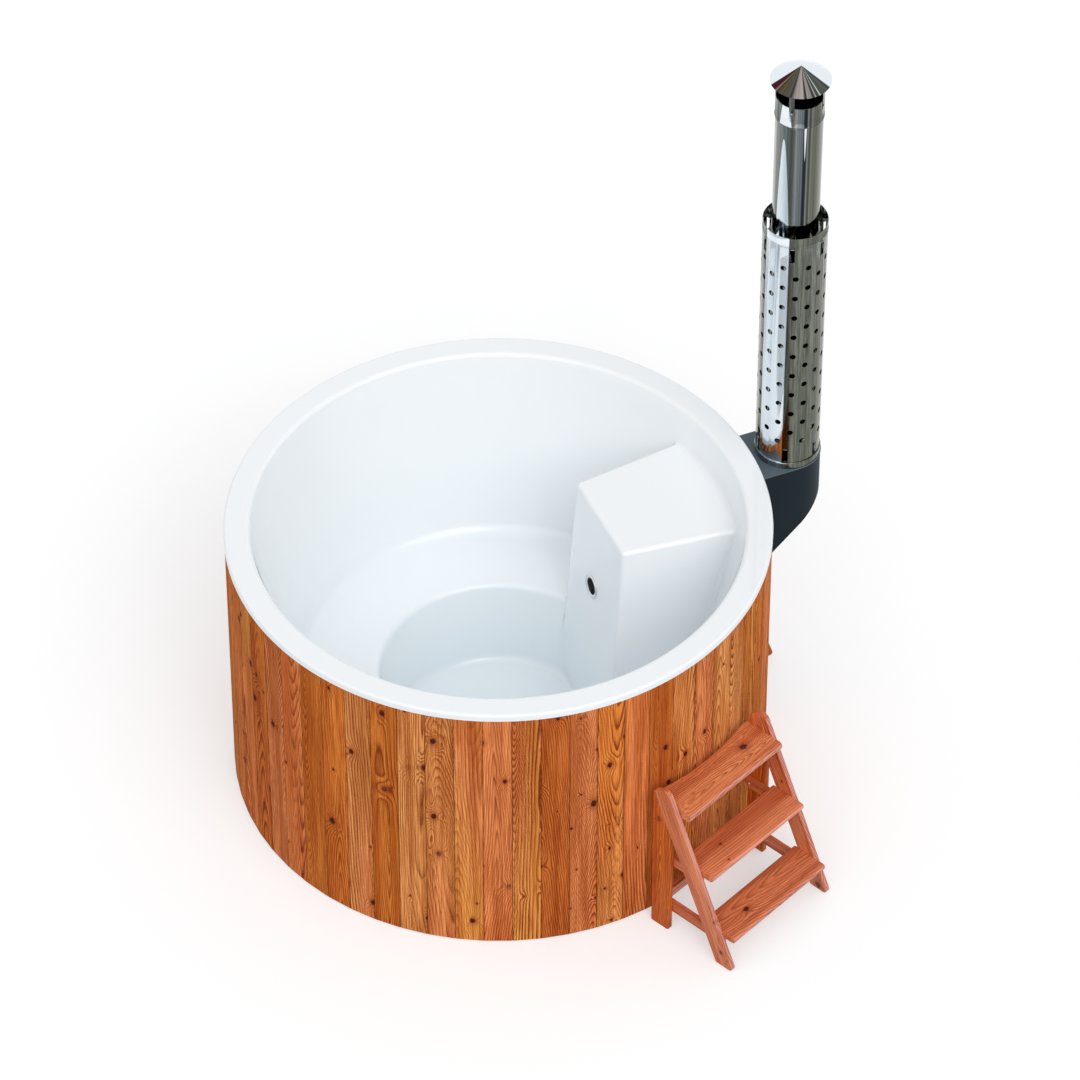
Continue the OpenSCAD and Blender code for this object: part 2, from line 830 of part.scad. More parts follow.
module fire_grate() {
    w = firebox_w / 2 - firebox_t - 2;
    x0 = firebox_x0 + firebox_t + 4;
    x1 = heater_x1 - jacket_t - firebox_t - 4;
    bar = 24;
    count = floor((2 * w - bar) / bar);
    color(iron)
    translate([0, 0, grate_z])
        difference() {
            block([x0, -w, 0], [x1, w, grate_t]);
            for (i = [0 : count - 1])
                let (y = (i - (count - 1) / 2) * bar)
                translate([0, y, -1]) linear_extrude(grate_t + 2)
                    polygon(rounded_outline([[x0 + 16, -5, 4.9], [x1 - 16, -5, 4.9],
                        [x1 - 16, 5, 4.9], [x0 + 16, 5, 4.9]]));
        }
}

module front_plate() {
    w = plate_w / 2;
    lug_r = hinge_pin_r + 4;
    color(steel) {
        difference() {
            block([board_back, -w, plate_z0], [plate_x, w, plate_z1]);
            translate([0, 0, plate_z0 - 1]) cylinder(r = board_r + 0.3, h = plate_z1, $fn = big_fn);
            block([board_back - 1, -w + 4, plate_z0 + 4], [plate_x - plate_t, w - 4, plate_z1 - 4]);
            block([board_back, -fire_w / 2, fire_z0], [plate_x + 1, fire_w / 2, fire_z0 + fire_h]);
            block([board_back, -fire_w / 2, ash_z0 - 2], [plate_x + 1, fire_w / 2, ash_z0 + ash_h]);
            plate_screw_places() translate([0, 0, -10]) cylinder(r = 3.2, h = 20, $fn = small_fn);
        }
        hinge_places()
            difference() {
                union() {
                    cylinder(r = lug_r, h = 18, $fn = small_fn);
                    block([-hinge_x + plate_x, -lug_r, 0], [0, lug_r, 18]);
                }
                translate([0, 0, 4]) cylinder(r = hinge_pin_r, h = 20, $fn = small_fn);
            }
    }
}

module plate_screw_places() {
    for (s = [-1, 1], z = [plate_z0 + 22, plate_z1 - 22])
        translate([plate_x, s * (plate_w / 2 - 14), z]) rotate([0, 90, 0]) children();
}

module plate_screws() {
    color(steel)
    plate_screw_places() {
        translate([0, 0, -plate_t]) cylinder(r = 3, h = plate_t + 1, $fn = small_fn);
        difference() {
            spun([[0, 0], [6.5, 0], [5.5, 2.2], [3, 3], [0, 3]], small_fn);
            translate([0, 0, 1.5]) cylinder(r = 2.5, h = 3, $fn = 6);
        }
    }
}

module hinge_places() {
    for (z = [fire_z0 + 30, fire_z0 + fire_h - 78]) translate([hinge_x, hinge_y, z]) children();
}

module hinge_pins() {
    color(steel) hinge_places() translate([0, 0, 4]) cylinder(r = hinge_pin_r, h = 42, $fn = small_fn);
}

module fire_door() {
    h = door_half;
    z0 = fire_z0 - door_lap;
    z1 = fire_z0 + fire_h + door_lap;
    knuckle_r = hinge_pin_r + 2.5;
    color(iron)
    difference() {
        union() {
            translate([door_x, 0, 0]) rotate([90, 0, 90]) linear_extrude(door_t)
                polygon(rounded_outline([[-h, z0, 10], [h, z0, 10], [h, z1, 10], [-h, z1, 10]]));
            // raised field on the face
            translate([door_x + door_t - 1, 0, 0]) rotate([90, 0, 90]) linear_extrude(4)
                polygon(rounded_outline([[-h + 26, z0 + 26, 14], [h - 76, z0 + 26, 14],
                    [h - 76, z1 - 26, 14], [-h + 26, z1 - 26, 14]]));
            hinge_places() translate([0, 0, 18.5]) {
                cylinder(r = knuckle_r, h = 30, $fn = small_fn);
                block([-door_t / 2, 0, 0], [door_t / 2, -hinge_y - h + 2, 30]);
            }
        }
        hinge_places() translate([0, 0, 17])
            cylinder(r = hinge_pin_r + run_gap, h = 29.5, $fn = small_fn);
        translate([door_x - 1, latch_y, latch_z]) rotate([0, 90, 0])
            cylinder(r = latch_shaft_r + run_gap, h = 30, $fn = small_fn);
    }
}

module door_seal() {
    h = fire_w / 2 + 4;
    z0 = fire_z0 - 4;
    z1 = fire_z0 + fire_h + 4;
    color("#8d8a80")
    translate([plate_x, 0, 0]) rotate([90, 0, 90]) linear_extrude(seal_t)
        difference() {
            polygon(rounded_outline([[-h - 7, z0 - 7, 12], [h + 7, z0 - 7, 12],
                [h + 7, z1 + 7, 12], [-h - 7, z1 + 7, 12]]));
            polygon(rounded_outline([[-h, z0, 6], [h, z0, 6], [h, z1, 6], [-h, z1, 6]]));
        }
}

lever_gap = 14;      // from the door's face to the lever
lever_end = 5;       // half the width of the lever's lower end
lever_x = door_x + door_t + lever_gap;
lever_t = 5;
lever_len = 52;

module door_latch() {
    tongue_x1 = plate_x - plate_t - 3;
    color(steel)
    translate([0, latch_y, latch_z]) {
        translate([tongue_x1 - 8, 0, 0]) rotate([0, 90, 0])
            cylinder(r = latch_shaft_r, h = lever_x + lever_t - tongue_x1 + 8, $fn = small_fn);
        translate([door_x + door_t + 0.5, 0, 0]) rotate([0, 90, 0])
            cylinder(r = 13, h = lever_x - door_x - door_t, $fn = small_fn);
        translate([tongue_x1 - 8, 0, 0]) rotate([90, 0, 90]) linear_extrude(8)
            polygon(rounded_outline([[-8, 8, 6], [-8, -34, 4], [8, -34, 4], [8, 8, 6]]));
        translate([lever_x, 0, 0]) rotate([90, 0, 90]) linear_extrude(lever_t)
            polygon(rounded_outline([[-11, 11, 9], [-lever_end, -lever_len - 20, 4],
                [lever_end, -lever_len - 20, 4], [11, 11, 9]]));
    }
}

module latch_grip() {
    color(larch)
    translate([lever_x + lever_t / 2, latch_y, latch_z - lever_len - grip_len])
        difference() {
            spun([[0, 0], [8, 0], [11, 3], [12.5, grip_len * 0.4], [10, grip_len - 3],
                [8, grip_len], [0, grip_len]], small_fn);
            block([-lever_t / 2, -7.2, grip_len - 21], [lever_t / 2, 7.2, grip_len + 1]);
        }
}

drawer_half = fire_w / 2 - 7;
drawer_face_x = plate_x + 0.5;
drawer_face_t = 4;
vent_pitch = 34;
vent_z = ash_z0 + 18;
slider_travel = 17;

module ash_drawer() {
    x0 = firebox_x0 + 60;
    z1 = ash_z0 + ash_h - 10;
    face_z0 = ash_z0 - 8;
    face_z1 = ash_z0 + ash_h + 6;
    t = 2;
    color(iron) {
        difference() {
            block([x0, -drawer_half, ash_z0], [drawer_face_x, drawer_half, z1]);
            block([x0 + t, -drawer_half + t, ash_z0 + t], [drawer_face_x - t, drawer_half - t, z1 + 1]);
            for (i = [-1 : 1]) vent(i * vent_pitch);
        }
        difference() {
            translate([drawer_face_x, 0, 0]) rotate([90, 0, 90]) linear_extrude(drawer_face_t)
                polygon(rounded_outline([[-door_half, face_z0, 6], [door_half, face_z0, 6],
                    [door_half, face_z1, 6], [-door_half, face_z1, 6]]));
            for (i = [-1 : 1]) vent(i * vent_pitch);
        }
        // folded guide strips that hold the slider
        for (s = [-1, 1])
            translate([drawer_face_x + drawer_face_t, 90, vent_z + (s > 0 ? 0 : 0.3)])
                rotate([90, 0, 0]) linear_extrude(180)
                    polygon([[0, s * 12.3], [2.8, s * 12.3], [2.8, s * 9.5], [4.2, s * 9.5],
                        [4.2, s * 16], [0, s * 16]]);
        // bent handle
        for (s = [-1, 1])
            translate([drawer_face_x + drawer_face_t - 1, s * 42, face_z1 - 22]) rotate([0, 90, 0])
                cylinder(r = 4, h = 33, $fn = small_fn);
        translate([drawer_face_x + drawer_face_t + 32, -46, face_z1 - 22]) rotate([-90, 0, 0])
            cylinder(r = 4, h = 92, $fn = small_fn);
    }
}

module vent(y) {
    translate([plate_x - 10, y, vent_z]) rotate([0, 90, 0]) cylinder(r = 8, h = 30, $fn = small_fn);
}

module air_slider() {
    x = drawer_face_x + drawer_face_t + 0.2;
    color(steel)
    difference() {
        union() {
            block([x, -72, vent_z - 11.7], [x + 2.3, 72, vent_z + 12]);
            translate([x + 2, -60, vent_z]) rotate([0, 90, 0]) cylinder(r = 6, h = 12, $fn = small_fn);
        }
        for (i = [-1 : 1])
            translate([0, -slider_travel, 0]) vent(i * vent_pitch);
    }
}

// ---- Water ports ----

// Flange with a rounded edge that slopes down into the bore
module port_ring(r, lip) {
    out = r + pipe_t + lip;
    t = port_ring_t;
    spun([[r, 0], [out, 0], [out, t - 2], [out - 2, t], [out - 4, t], [r, t / 3]], fine_fn);
}

// Stub from the heater's jacket through the niche's front
module port_pipe(r, z) {
    depth = (heater_x0 - niche_x(z)) / cos(niche_draft) + 6;
    translate([0, 0, -depth]) {
        tube(r + pipe_t, pipe_t, depth);
        translate([0, 0, depth - liner_t - gasket_t - 10]) difference() {
            cylinder(r = r + pipe_t + 9, h = 10 - 0.2, $fn = 8);
            translate([0, 0, -1]) cylinder(r = r + pipe_t, h = 12, $fn = fine_fn);
        }
    }
}

module hot_port_ring() {
    color(mirror_steel) at_hot_port() port_ring(hot_r, hot_lip);
}

module cold_port_ring() {
    color(mirror_steel) at_cold_port() port_ring(cold_r, cold_lip);
}

module hot_pipe() {
    color(steel) at_hot_port() port_pipe(hot_r, hot_z);
}

module cold_pipe() {
    color(steel) at_cold_port() port_pipe(cold_r, cold_z);
}

module port_gaskets() {
    color(black_rubber)
    for (p = [[hot_r, hot_y, hot_z], [cold_r, cold_y, cold_z]])
        at_port(p[1], p[2]) translate([0, 0, -liner_t - gasket_t - 0.1])
            difference() {
                cylinder(r = p[0] + pipe_t + 8, h = gasket_t, $fn = fine_fn);
                translate([0, 0, -1]) cylinder(r = p[0] + pipe_t + 0.2, h = gasket_t + 2, $fn = fine_fn);
            }
}

// ---- Smoke path and chimney ----

module smoke_duct() {
    w = duct_w / 2;
    x0 = heater_x1 - jacket_t - firebox_t;
    color(iron)
    difference() {
        block([x0, -w, duct_z0], [board_r + 2, w, duct_z0 + duct_h]);
        block([x0 - 1, -w + 3, duct_z0 + 3], [board_r + 3, w - 3, duct_z0 + duct_h - 3]);
        difference() {
            block([board_back, -w - 1, duct_z0 - 1], [board_r + 3, w + 1, duct_z0 + duct_h + 1]);
            cylinder(r = board_r + 0.3, h = rim_top, $fn = big_fn);
        }
    }
}

// The flue box's form, drawn in by inset, from its slanted underside up to z1
module flue_box_form(inset, z1) {
    w = flue_box_w / 2 - inset;
    difference() {
        translate([0, 0, flue_box_z0]) union() {
            block([board_back, -w, 0], [chimney_x, w, z1 - flue_box_z0]);
            translate([chimney_x, 0, 0]) cylinder(r = w, h = z1 - flue_box_z0, $fn = big_fn);
        }
        cylinder(r = board_r + 0.3 + inset, h = rim_top + 10, $fn = big_fn);
        translate([board_r, 0, flue_box_z0 + inset / cos(slope_angle)]) rotate([0, -slope_angle, 0])
            block([-rim_r, -flue_box_w, -rim_r], [rim_r, flue_box_w, 0]);
    }
}

module flue_box() {
    w = duct_w / 2;
    color(anthracite)
    difference() {
        flue_box_form(0, lid_z0);
        flue_box_form(flue_sheet, lid_z0 + 1);
        block([board_back, -w + 3, duct_z0 + 3], [board_r + 20, w - 3, duct_z0 + duct_h - 3]);
    }
}

module flue_box_lid() {
    w = flue_box_w / 2 + 1.5;
    color("#4a5a62")
    difference() {
        translate([0, 0, lid_z0]) union() {
            block([board_back, -w, 0], [chimney_x, w, lid_t]);
            translate([chimney_x, 0, 0]) cylinder(r = w, h = lid_t, $fn = big_fn);
        }
        cylinder(r = board_r + 0.3, h = rim_top + 10, $fn = big_fn);
        translate([chimney_x, 0, lid_z0 - 1]) cylinder(r = flue_r + 0.3, h = lid_t + 2, $fn = fine_fn);
    }
}

module on_chimney(z) {
    translate([chimney_x, 0, z]) children();
}

module shield_collar() {
    r = shield_r + 0.3;
    color(mirror_steel)
    on_chimney(flue_box_top)
        spun([[r, 0], [r + 3.2, 0], [r + 3.2, collar_h - 2], [r + 2, collar_h], [r, collar_h]], big_fn);
}

// Pipe with its foot flange, and the bead that the rain cap's sleeve rests on
module flue_pipe() {
    r = flue_r;
    bead = flue_top - sleeve_len;
    foot = flue_box_top;
    color(mirror_steel)
    on_chimney(0)
        spun([
            [r - flue_t, foot - 50], [r, foot - 50], [r, foot], [r + 16, foot], [r + 16, foot + 3],
            [r, foot + 3], [r, bead - 8], [r + 2.4, bead - 5], [r + 2.4, bead - 1], [r + 0.4, bead],
            [r, bead], [r, flue_top], [r - flue_t, flue_top]
        ], fine_fn);
}

slot_count = 6;
tab_t = 2;
slot_low_z = flue_box_top + collar_h + 4;
slot_top_z = shield_top - seam_drop - 11 - slot_h;

// Children placed at the foot of every slot, their +X pointing out through it
module at_slots() {
    for (z = [slot_low_z, slot_top_z], i = [0 : slot_count - 1])
        on_chimney(z) rotate([0, 0, i * 360 / slot_count]) children();
}

module heat_shield() {
    color(mirror_steel)
    difference() {
        union() {
            on_chimney(flue_box_top) tube(shield_r, shield_t, shield_top - flue_box_top, big_fn);
            on_chimney(shield_top - seam_drop) spun(
                [[shield_r - 0.5, -2], [shield_r + 1, -0.8], [shield_r + 1, 0.8], [shield_r - 0.5, 2]], big_fn);
        }
        for (i = [0 : hole_columns - 1])
            let (odd = i % 2)
            for (j = [0 : hole_rows - 1 - odd])
                on_chimney(hole_z0 + (j + odd / 2) * hole_pitch) rotate([0, 0, i * 360 / hole_columns])
                    rotate([0, 90, 0]) translate([0, 0, shield_r - 6])
                        cylinder(r = hole_r, h = 12, $fn = small_fn);
        at_slots() block([shield_r - 6, -slot_w / 2, 0], [shield_r + 6, slot_w / 2, slot_h]);
    }
}

// Two spiders on the pipe; the shield hangs on their tabs by the tops of its slots
module shield_spacers() {
    tab_z = slot_h - tab_t - 0.2;
    color(steel)
    union() {
        for (z = [slot_low_z, slot_top_z])
            on_chimney(z + tab_z - 8) tube(flue_r + 2.2, 2, 16, fine_fn);
        at_slots()
            block([flue_r + 1, -slot_w / 2 + 2, tab_z], [shield_r + 1.5, slot_w / 2 - 2, tab_z + tab_t]);
    }
}

cap_sheet = 1.2;
cone_wall = 1.4;
strut_t = 2.2;
strut_len = 30;      // how far the struts reach down the sleeve
strut_in = sleeve_r + 0.2;

// Height of the cone's underside above its edge, at radius r
function cone_under(r) = (cap_h - 1.6 * cone_wall) * (1 - r / (cap_r - 2));

module rain_cap() {
    color(mirror_steel) {
        on_chimney(flue_top - sleeve_len + 0.2) {
            tube(sleeve_r + cap_sheet, cap_sheet, sleeve_len, fine_fn);
            spun([[sleeve_r + 0.4, 0], [sleeve_r + 2.6, 0.8], [sleeve_r + 2.6, 2.4], [sleeve_r + 0.4, 3.4]],
                fine_fn);
        }
        on_chimney(cap_z)
            spun([[0, cap_h - 1.6 * cone_wall], [cap_r - 2, 0], [cap_r, 0], [cap_r, cap_sheet], [0, cap_h]],
                big_fn);
        for (i = [0 : 3])
            on_chimney(flue_top - strut_len) rotate([0, 0, 45 + i * 90])
                block([strut_in, -9, 0], [strut_in + strut_t, 9, strut_len + cap_gap + cone_under(strut_in)]);
    }
}

module cap_rivets() {
    color(steel)
    for (i = [0 : 3])
        on_chimney(flue_top - 22) rotate([0, 0, 45 + i * 90]) rotate([0, 90, 0])
            translate([0, 0, strut_in + strut_t]) spun([[0, 0], [3.5, 0], [2.6, 1.4], [0, 2]], small_fn);
}

// ---- Steps. They stand in their own direction; x runs away from the tub. ----

module as_steps() {
    rotate([0, 0, steps_turn]) children();
}

// An upright board: outline in x and z, from y0 over thickness t
module side_board(points, y0, t) {
    translate([0, y0 + t, 0]) rotate([90, 0, 0]) linear_extrude(t) polygon(points);
}

stringer_outline = rounded_outline([
    [stringer_back(0), 0, 10],
    [stringer_front(0), 0, 12],
    [stringer_top[0], stringer_top[1], 26],
    [stringer_top[0] - stringer_w * cos(stringer_lean),
     stringer_top[1] - stringer_w * sin(stringer_lean), 16]
]);

module stringer_left() {
    color(step_red) as_steps() side_board(stringer_outline, -steps_w / 2, step_board_t);
}

module stringer_right() {
    color(step_red) as_steps() side_board(stringer_outline, inner_half, step_board_t);
}

// Height at which a leg meets the back edge of its stringer, at distance x
function leg_top(x) = (stringer_back(0) - x) / tan(stringer_lean);

module step_legs() {
    front = leg_back + leg_w;
    outline = rounded_outline([
        [leg_back, 0, 8], [front, 0, 8], [front, leg_top(front), 0],
        [leg_back, leg_top(leg_back), 0]
    ]);
    color(step_red)
    as_steps()
        for (y = [-steps_w / 2, inner_half])
            difference() {
                side_board(outline, y, step_board_t);
                side_board([
                    [stringer_back(0), 0], [stringer_front(0), 0], stringer_top,
                    stringer_top - stringer_w * [cos(stringer_lean), sin(stringer_lean)]
                ], y - 1, step_board_t + 2);
            }
}

// A tread between the stringers, with a rounded nose
module tread(z, x0, t, nose_r) {
    x1 = stringer_front(z) + tread_nose;
    side_board(
        rounded_outline([[x0, z - t, 4], [x1, z - t, nose_r], [x1, z, nose_r], [x0, z, 8]]),
        -inner_half, 2 * inner_half
    );
}

module tread_top() {
    z = tread_z(2);
    color(step_red)
    as_steps()
        difference() {
            tread(z, board_r - 30, top_tread_t, 14);
            translate([0, 0, z - top_tread_t - 1])
                cylinder(r = board_r + tread_gap, h = top_tread_t + 2, $fn = big_fn);
        }
}

module tread_middle() {
    z = tread_z(1);
    color(step_red) as_steps() tread(z, stringer_front(z) + tread_nose - tread_depth, tread_t, 11);
}

module tread_bottom() {
    z = tread_z(0);
    color(step_red) as_steps() tread(z, stringer_front(z) + tread_nose - tread_depth, tread_t, 11);
}

function rail_top(i) = tread_z(i) - (i == 2 ? top_tread_t : tread_t);
function rail_end(i) = stringer_front(rail_top(i)) - 14;

// The inner side of the rails, where their screws go in
module rail_screw_places() {
    for (s = [-1, 1], i = [0 : 2], x = [leg_back + 22, rail_end(i) - 24])
        translate([x, s * (inner_half - step_board_t), rail_top(i) - rail_h / 2])
            rotate([s * 90, 0, 0]) children();
}

module side_rails() {
    color(step_red)
    as_steps()
        difference() {
            for (s = [-1, 1], i = [0 : 2])
                side_board(
                    [[leg_back, rail_top(i) - rail_h], [rail_end(i), rail_top(i) - rail_h],
                     [rail_end(i), rail_top(i)], [leg_back, rail_top(i)]],
                    s > 0 ? inner_half - step_board_t : -inner_half, step_board_t
                );
            rail_screw_places() translate([0, 0, -step_board_t - 1])
                cylinder(r = 2.6, h = step_board_t + 2, $fn = small_fn);
        }
}

module cross_rail() {
    x0 = leg_back + leg_w / 2 - step_board_t / 2 + 6;
    color(step_red)
    as_steps()
        block([x0, -inner_half, rail_top(0)], [x0 + step_board_t, inner_half, rail_top(0) + rail_h]);
}

module step_screws() {
    color(steel)
    as_steps()
        rail_screw_places() {
            spun([[0, 0], [5, 0], [4, 2], [0, 2.6]], small_fn);
            translate([0, 0, -step_board_t + 1]) cylinder(r = 2.4, h = step_board_t, $fn = small_fn);
        }
}

liner();
rim_ring();
wall_posts();
frame_hoops();
bench_ribs();
base_plate();
ground_bearers();
heater_runners();
foam_jacket();
cladding(0);  // cladding_1
cladding(1);  // cladding_2
cladding(2);  // cladding_3
cladding(3);  // cladding_4
cladding(4);  // cladding_5
cladding(5);  // cladding_6
boards(hatch_boards);  // cladding_hatch
drain_strainer();
drain_fitting();
drain_gasket();
drain_pipe();
valve_body();
valve_ball();
valve_lever();
hose_tail();
water_jacket();
firebox();
fire_grate();
front_plate();
plate_screws();
fire_door();
door_seal();
hinge_pins();
door_latch();
latch_grip();
ash_drawer();
air_slider();
hot_port_ring();
hot_pipe();
cold_port_ring();
cold_pipe();
port_gaskets();
smoke_duct();
flue_box();
flue_box_lid();
shield_collar();
flue_pipe();
heat_shield();
shield_spacers();
rain_cap();
cap_rivets();
stringer_left();
stringer_right();
step_legs();
tread_top();
tread_middle();
tread_bottom();
side_rails();
cross_rail();
step_screws();
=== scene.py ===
import json
import math
import random

import bmesh
import bpy
import numpy as np
from mathutils import Matrix, Vector


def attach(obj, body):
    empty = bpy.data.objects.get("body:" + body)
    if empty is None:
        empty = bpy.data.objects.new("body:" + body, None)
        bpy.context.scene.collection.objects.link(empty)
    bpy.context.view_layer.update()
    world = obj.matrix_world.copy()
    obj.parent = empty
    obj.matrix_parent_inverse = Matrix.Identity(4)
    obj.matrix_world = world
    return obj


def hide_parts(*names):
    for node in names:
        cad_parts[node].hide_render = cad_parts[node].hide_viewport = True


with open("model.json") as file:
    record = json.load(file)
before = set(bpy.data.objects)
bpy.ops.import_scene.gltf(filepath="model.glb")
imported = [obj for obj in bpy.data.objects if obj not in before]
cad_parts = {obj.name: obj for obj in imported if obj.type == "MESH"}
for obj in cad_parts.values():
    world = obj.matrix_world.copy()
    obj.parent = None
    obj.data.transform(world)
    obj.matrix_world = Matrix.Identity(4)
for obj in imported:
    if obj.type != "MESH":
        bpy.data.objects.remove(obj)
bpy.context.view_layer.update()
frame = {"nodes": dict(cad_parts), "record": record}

# ---- Places and sizes repeated from the construction, in metres ----

BOARDS = 60
BOARD_TURN = math.radians(0.5)
BOARD_STEP = math.radians(360 / BOARDS)
BOARD_FACE = 0.89677            # from the tub's axis to a board's outer face
CHIMNEY_X = 1.045
CONE_FOOT = 2.578               # height at which the rain cap's cone starts
STEPS_TURN = math.radians(-66)
STRINGER_LEAN = math.radians(24.97)

UP = Vector((0, 0, 1))
ALONG_X, ALONG_Y = Vector((1, 0, 0)), Vector((0, 1, 0))
STEPS_OUT = Vector((math.cos(STEPS_TURN), math.sin(STEPS_TURN), 0))
STEPS_SIDE = Vector((-math.sin(STEPS_TURN), math.cos(STEPS_TURN), 0))
STRINGER_RISE = UP * math.cos(STRINGER_LEAN) - STEPS_OUT * math.sin(STRINGER_LEAN)
STRINGER_ACROSS = STEPS_OUT * math.cos(STRINGER_LEAN) + UP * math.sin(STRINGER_LEAN)


def tint(red, green, blue):
    """A colour as it looks on screen, 0 to 255, made ready for a shader."""
    def linear(value):
        value /= 255
        return value / 12.92 if value <= 0.04045 else ((value + 0.055) / 1.055) ** 2.4
    return (linear(red), linear(green), linear(blue), 1.0)


# ---- Shader helpers ----

def put(tree, kind, inputs=(), **settings):
    """Add a node with its settings; inputs are set, or linked where they are sockets."""
    node = tree.nodes.new(kind)
    for key, value in settings.items():
        setattr(node, key, value)
    for key, value in dict(inputs).items():
        if isinstance(value, bpy.types.NodeSocket):
            tree.links.new(value, node.inputs[key])
        else:
            node.inputs[key].default_value = value
    return node


def maths(tree, operation, a, b=0.0, c=0.0, clamp=False):
    return put(tree, "ShaderNodeMath", {0: a, 1: b, 2: c},
               operation=operation, use_clamp=clamp).outputs[0]


def plus(tree, a, b):
    return maths(tree, "ADD", a, b)


def minus(tree, a, b):
    return maths(tree, "SUBTRACT", a, b)


def times(tree, a, b):
    return maths(tree, "MULTIPLY", a, b)


def over(tree, a, b):
    return maths(tree, "DIVIDE", a, b)


def power(tree, a, b):
    return maths(tree, "POWER", a, b)


def line(tree, value, slope, start):
    """The value times the slope, plus the start."""
    return maths(tree, "MULTIPLY_ADD", value, slope, start)


def centred(tree, value, share):
    """A value from 0 to 1, moved to lie round 0 and scaled."""
    return line(tree, value, share, -share / 2)


def root_of_squares(tree, a, b):
    return maths(tree, "SQRT", line(tree, a, a, times(tree, b, b)))


def ease(tree, value, low, high, start=0.0, end=1.0):
    """Smooth step of value from low to high."""
    return put(tree, "ShaderNodeMapRange",
               {"Value": value, "From Min": low, "From Max": high,
                "To Min": start, "To Max": end},
               interpolation_type="SMOOTHSTEP").outputs[0]


def blend(tree, amount, a, b, mode="MIX"):
    return put(tree, "ShaderNodeMix", {0: amount, 6: a, 7: b},
               data_type="RGBA", blend_type=mode).outputs[2]


def grains(tree, place, scale, detail=2.0, roughness=0.5, distortion=0.0):
    return put(tree, "ShaderNodeTexNoise",
               {"Vector": place, "Scale": scale, "Detail": detail, "Roughness": roughness,
                "Distortion": distortion}).outputs["Fac"]


def triple(tree, x, y, z):
    return put(tree, "ShaderNodeCombineXYZ", {0: x, 1: y, 2: z}).outputs[0]


def xyz_of(tree, vector):
    return put(tree, "ShaderNodeSeparateXYZ", {0: vector}).outputs


def rgb_of(tree, colour):
    return put(tree, "ShaderNodeSeparateColor", {0: colour}).outputs


def vectors(tree, operation, a, b, output="Vector"):
    return put(tree, "ShaderNodeVectorMath", {0: a, 1: b}, operation=operation).outputs[output]


def streaks(tree, place, stretch, detail, roughness=0.5):
    """Noise with its own scale along each axis."""
    return grains(tree, vectors(tree, "MULTIPLY", place, stretch), 1.0, detail, roughness)


def object_place(tree):
    return put(tree, "ShaderNodeTexCoord").outputs["Object"]


def surface_normal(tree):
    return put(tree, "ShaderNodeNewGeometry").outputs["Normal"]


def ramp(tree, value, stops, interpolation="LINEAR"):
    """A colour ramp; stops are (place, colour)."""
    node = put(tree, "ShaderNodeValToRGB", {0: value})
    band = node.color_ramp
    band.interpolation = interpolation
    while len(band.elements) < len(stops):
        band.elements.new(0.5)
    for element, (place, colour) in zip(band.elements, stops):
        element.position = place
        element.color = colour
    return node.outputs[0]


def raised(tree, height, strength, distance):
    return put(tree, "ShaderNodeBump",
               {"Height": height, "Strength": strength, "Distance": distance}).outputs[0]


def shader_group(name, inputs, outputs):
    """An empty node group with named sockets; returns its tree, input node and output node."""
    tree = bpy.data.node_groups.new(name, "ShaderNodeTree")
    for direction, sockets in (("INPUT", inputs), ("OUTPUT", outputs)):
        for socket, kind in sockets:
            tree.interface.new_socket(socket, in_out=direction, socket_type="NodeSocket" + kind)
    return tree, put(tree, "NodeGroupInput"), put(tree, "NodeGroupOutput")


def floats(*names):
    return [(name, "Float") for name in names]


def closed(tree, out, results):
    """The group with its results linked to its output node."""
    for name, value in results.items():
        tree.links.new(value, out.inputs[name])
    return tree


def finish_with(name, **sockets):
    """A material with a Principled shader, its plain sockets set: (material, tree, shader)."""
    material = bpy.data.materials.new(name)
    material.use_nodes = True
    tree = material.node_tree
    shader = tree.nodes["Principled BSDF"]
    for key, value in sockets.items():
        shader.inputs[key.replace("_", " ")].default_value = value
    return material, tree, shader


def wire(tree, shader, colour, roughness=None, normal=None):
    """Link what is given to the shader."""
    for name, socket in (("Base Color", colour), ("Roughness", roughness), ("Normal", normal)):
        if socket is not None:
            tree.links.new(socket, shader.inputs[name])


# ---- Wood figure: growth rings round a tapering trunk, knots, stripes and fibres ----

BOARD_SHIFT = 61.0                      # boards lie this far apart in the noise
TONE_DRAW, LATE_DRAW = 7.3, 3.1         # added to a board's shift for its further draws
PITH_SPREAD, PITH_SWAY, SWAYS_PER_M = 0.13, 0.07, 1.1
PITH_LEAST, PITH_MORE, PITH_BIAS, TAPER = 0.005, 0.055, 2.0, 0.26
KNOT_CELL_W, KNOT_CELL_H, KNOT_SHIFT = 0.070, 0.170, 1.7
KNOT_W_SCALE, KNOT_H_SCALE = 1.15, 0.85                 # knots are taller than wide
KNOT_LEAST_R, KNOT_MORE_R, KNOT_BIAS = 0.0030, 0.0105, 1.5
KNOT_EDGE, HALO_EDGE = (1.25, 0.7), (3.0, 0.9)          # from outside to inside, in radii
RAGGED_NOISE, RAGGED = (150.0, 3.0, 0.7), 1.7           # noise: (scale, detail, roughness)
PUSH_REACH, PUSH = 3.2, 2.4             # how far a knot moves the rings, in its radii
# what a draw from 0 to 1 becomes: (slope, start)
KNOT_LUCK, GAP_LUCK, LATE_LUCK = (1.8, 0.1), (0.85, 0.45), (0.70, 0.50)
# noise: (scale along each axis, detail, roughness where it isn't 0.5)
SLOW_WARP, QUICK_WARP = ((15.0, 15.0, 2.4), 2.0), ((95.0, 95.0, 11.0), 1.0)
PATCHES, STRIPES = ((24.0, 24.0, 2.5), 1.0), ((24.0, 8.0, 0.8), 2.0)
FIBRES = ((250.0, 250.0, 5.0), 3.0, 0.75)
SLOW_SHARE, QUICK_SHARE = 0.020, 0.0026
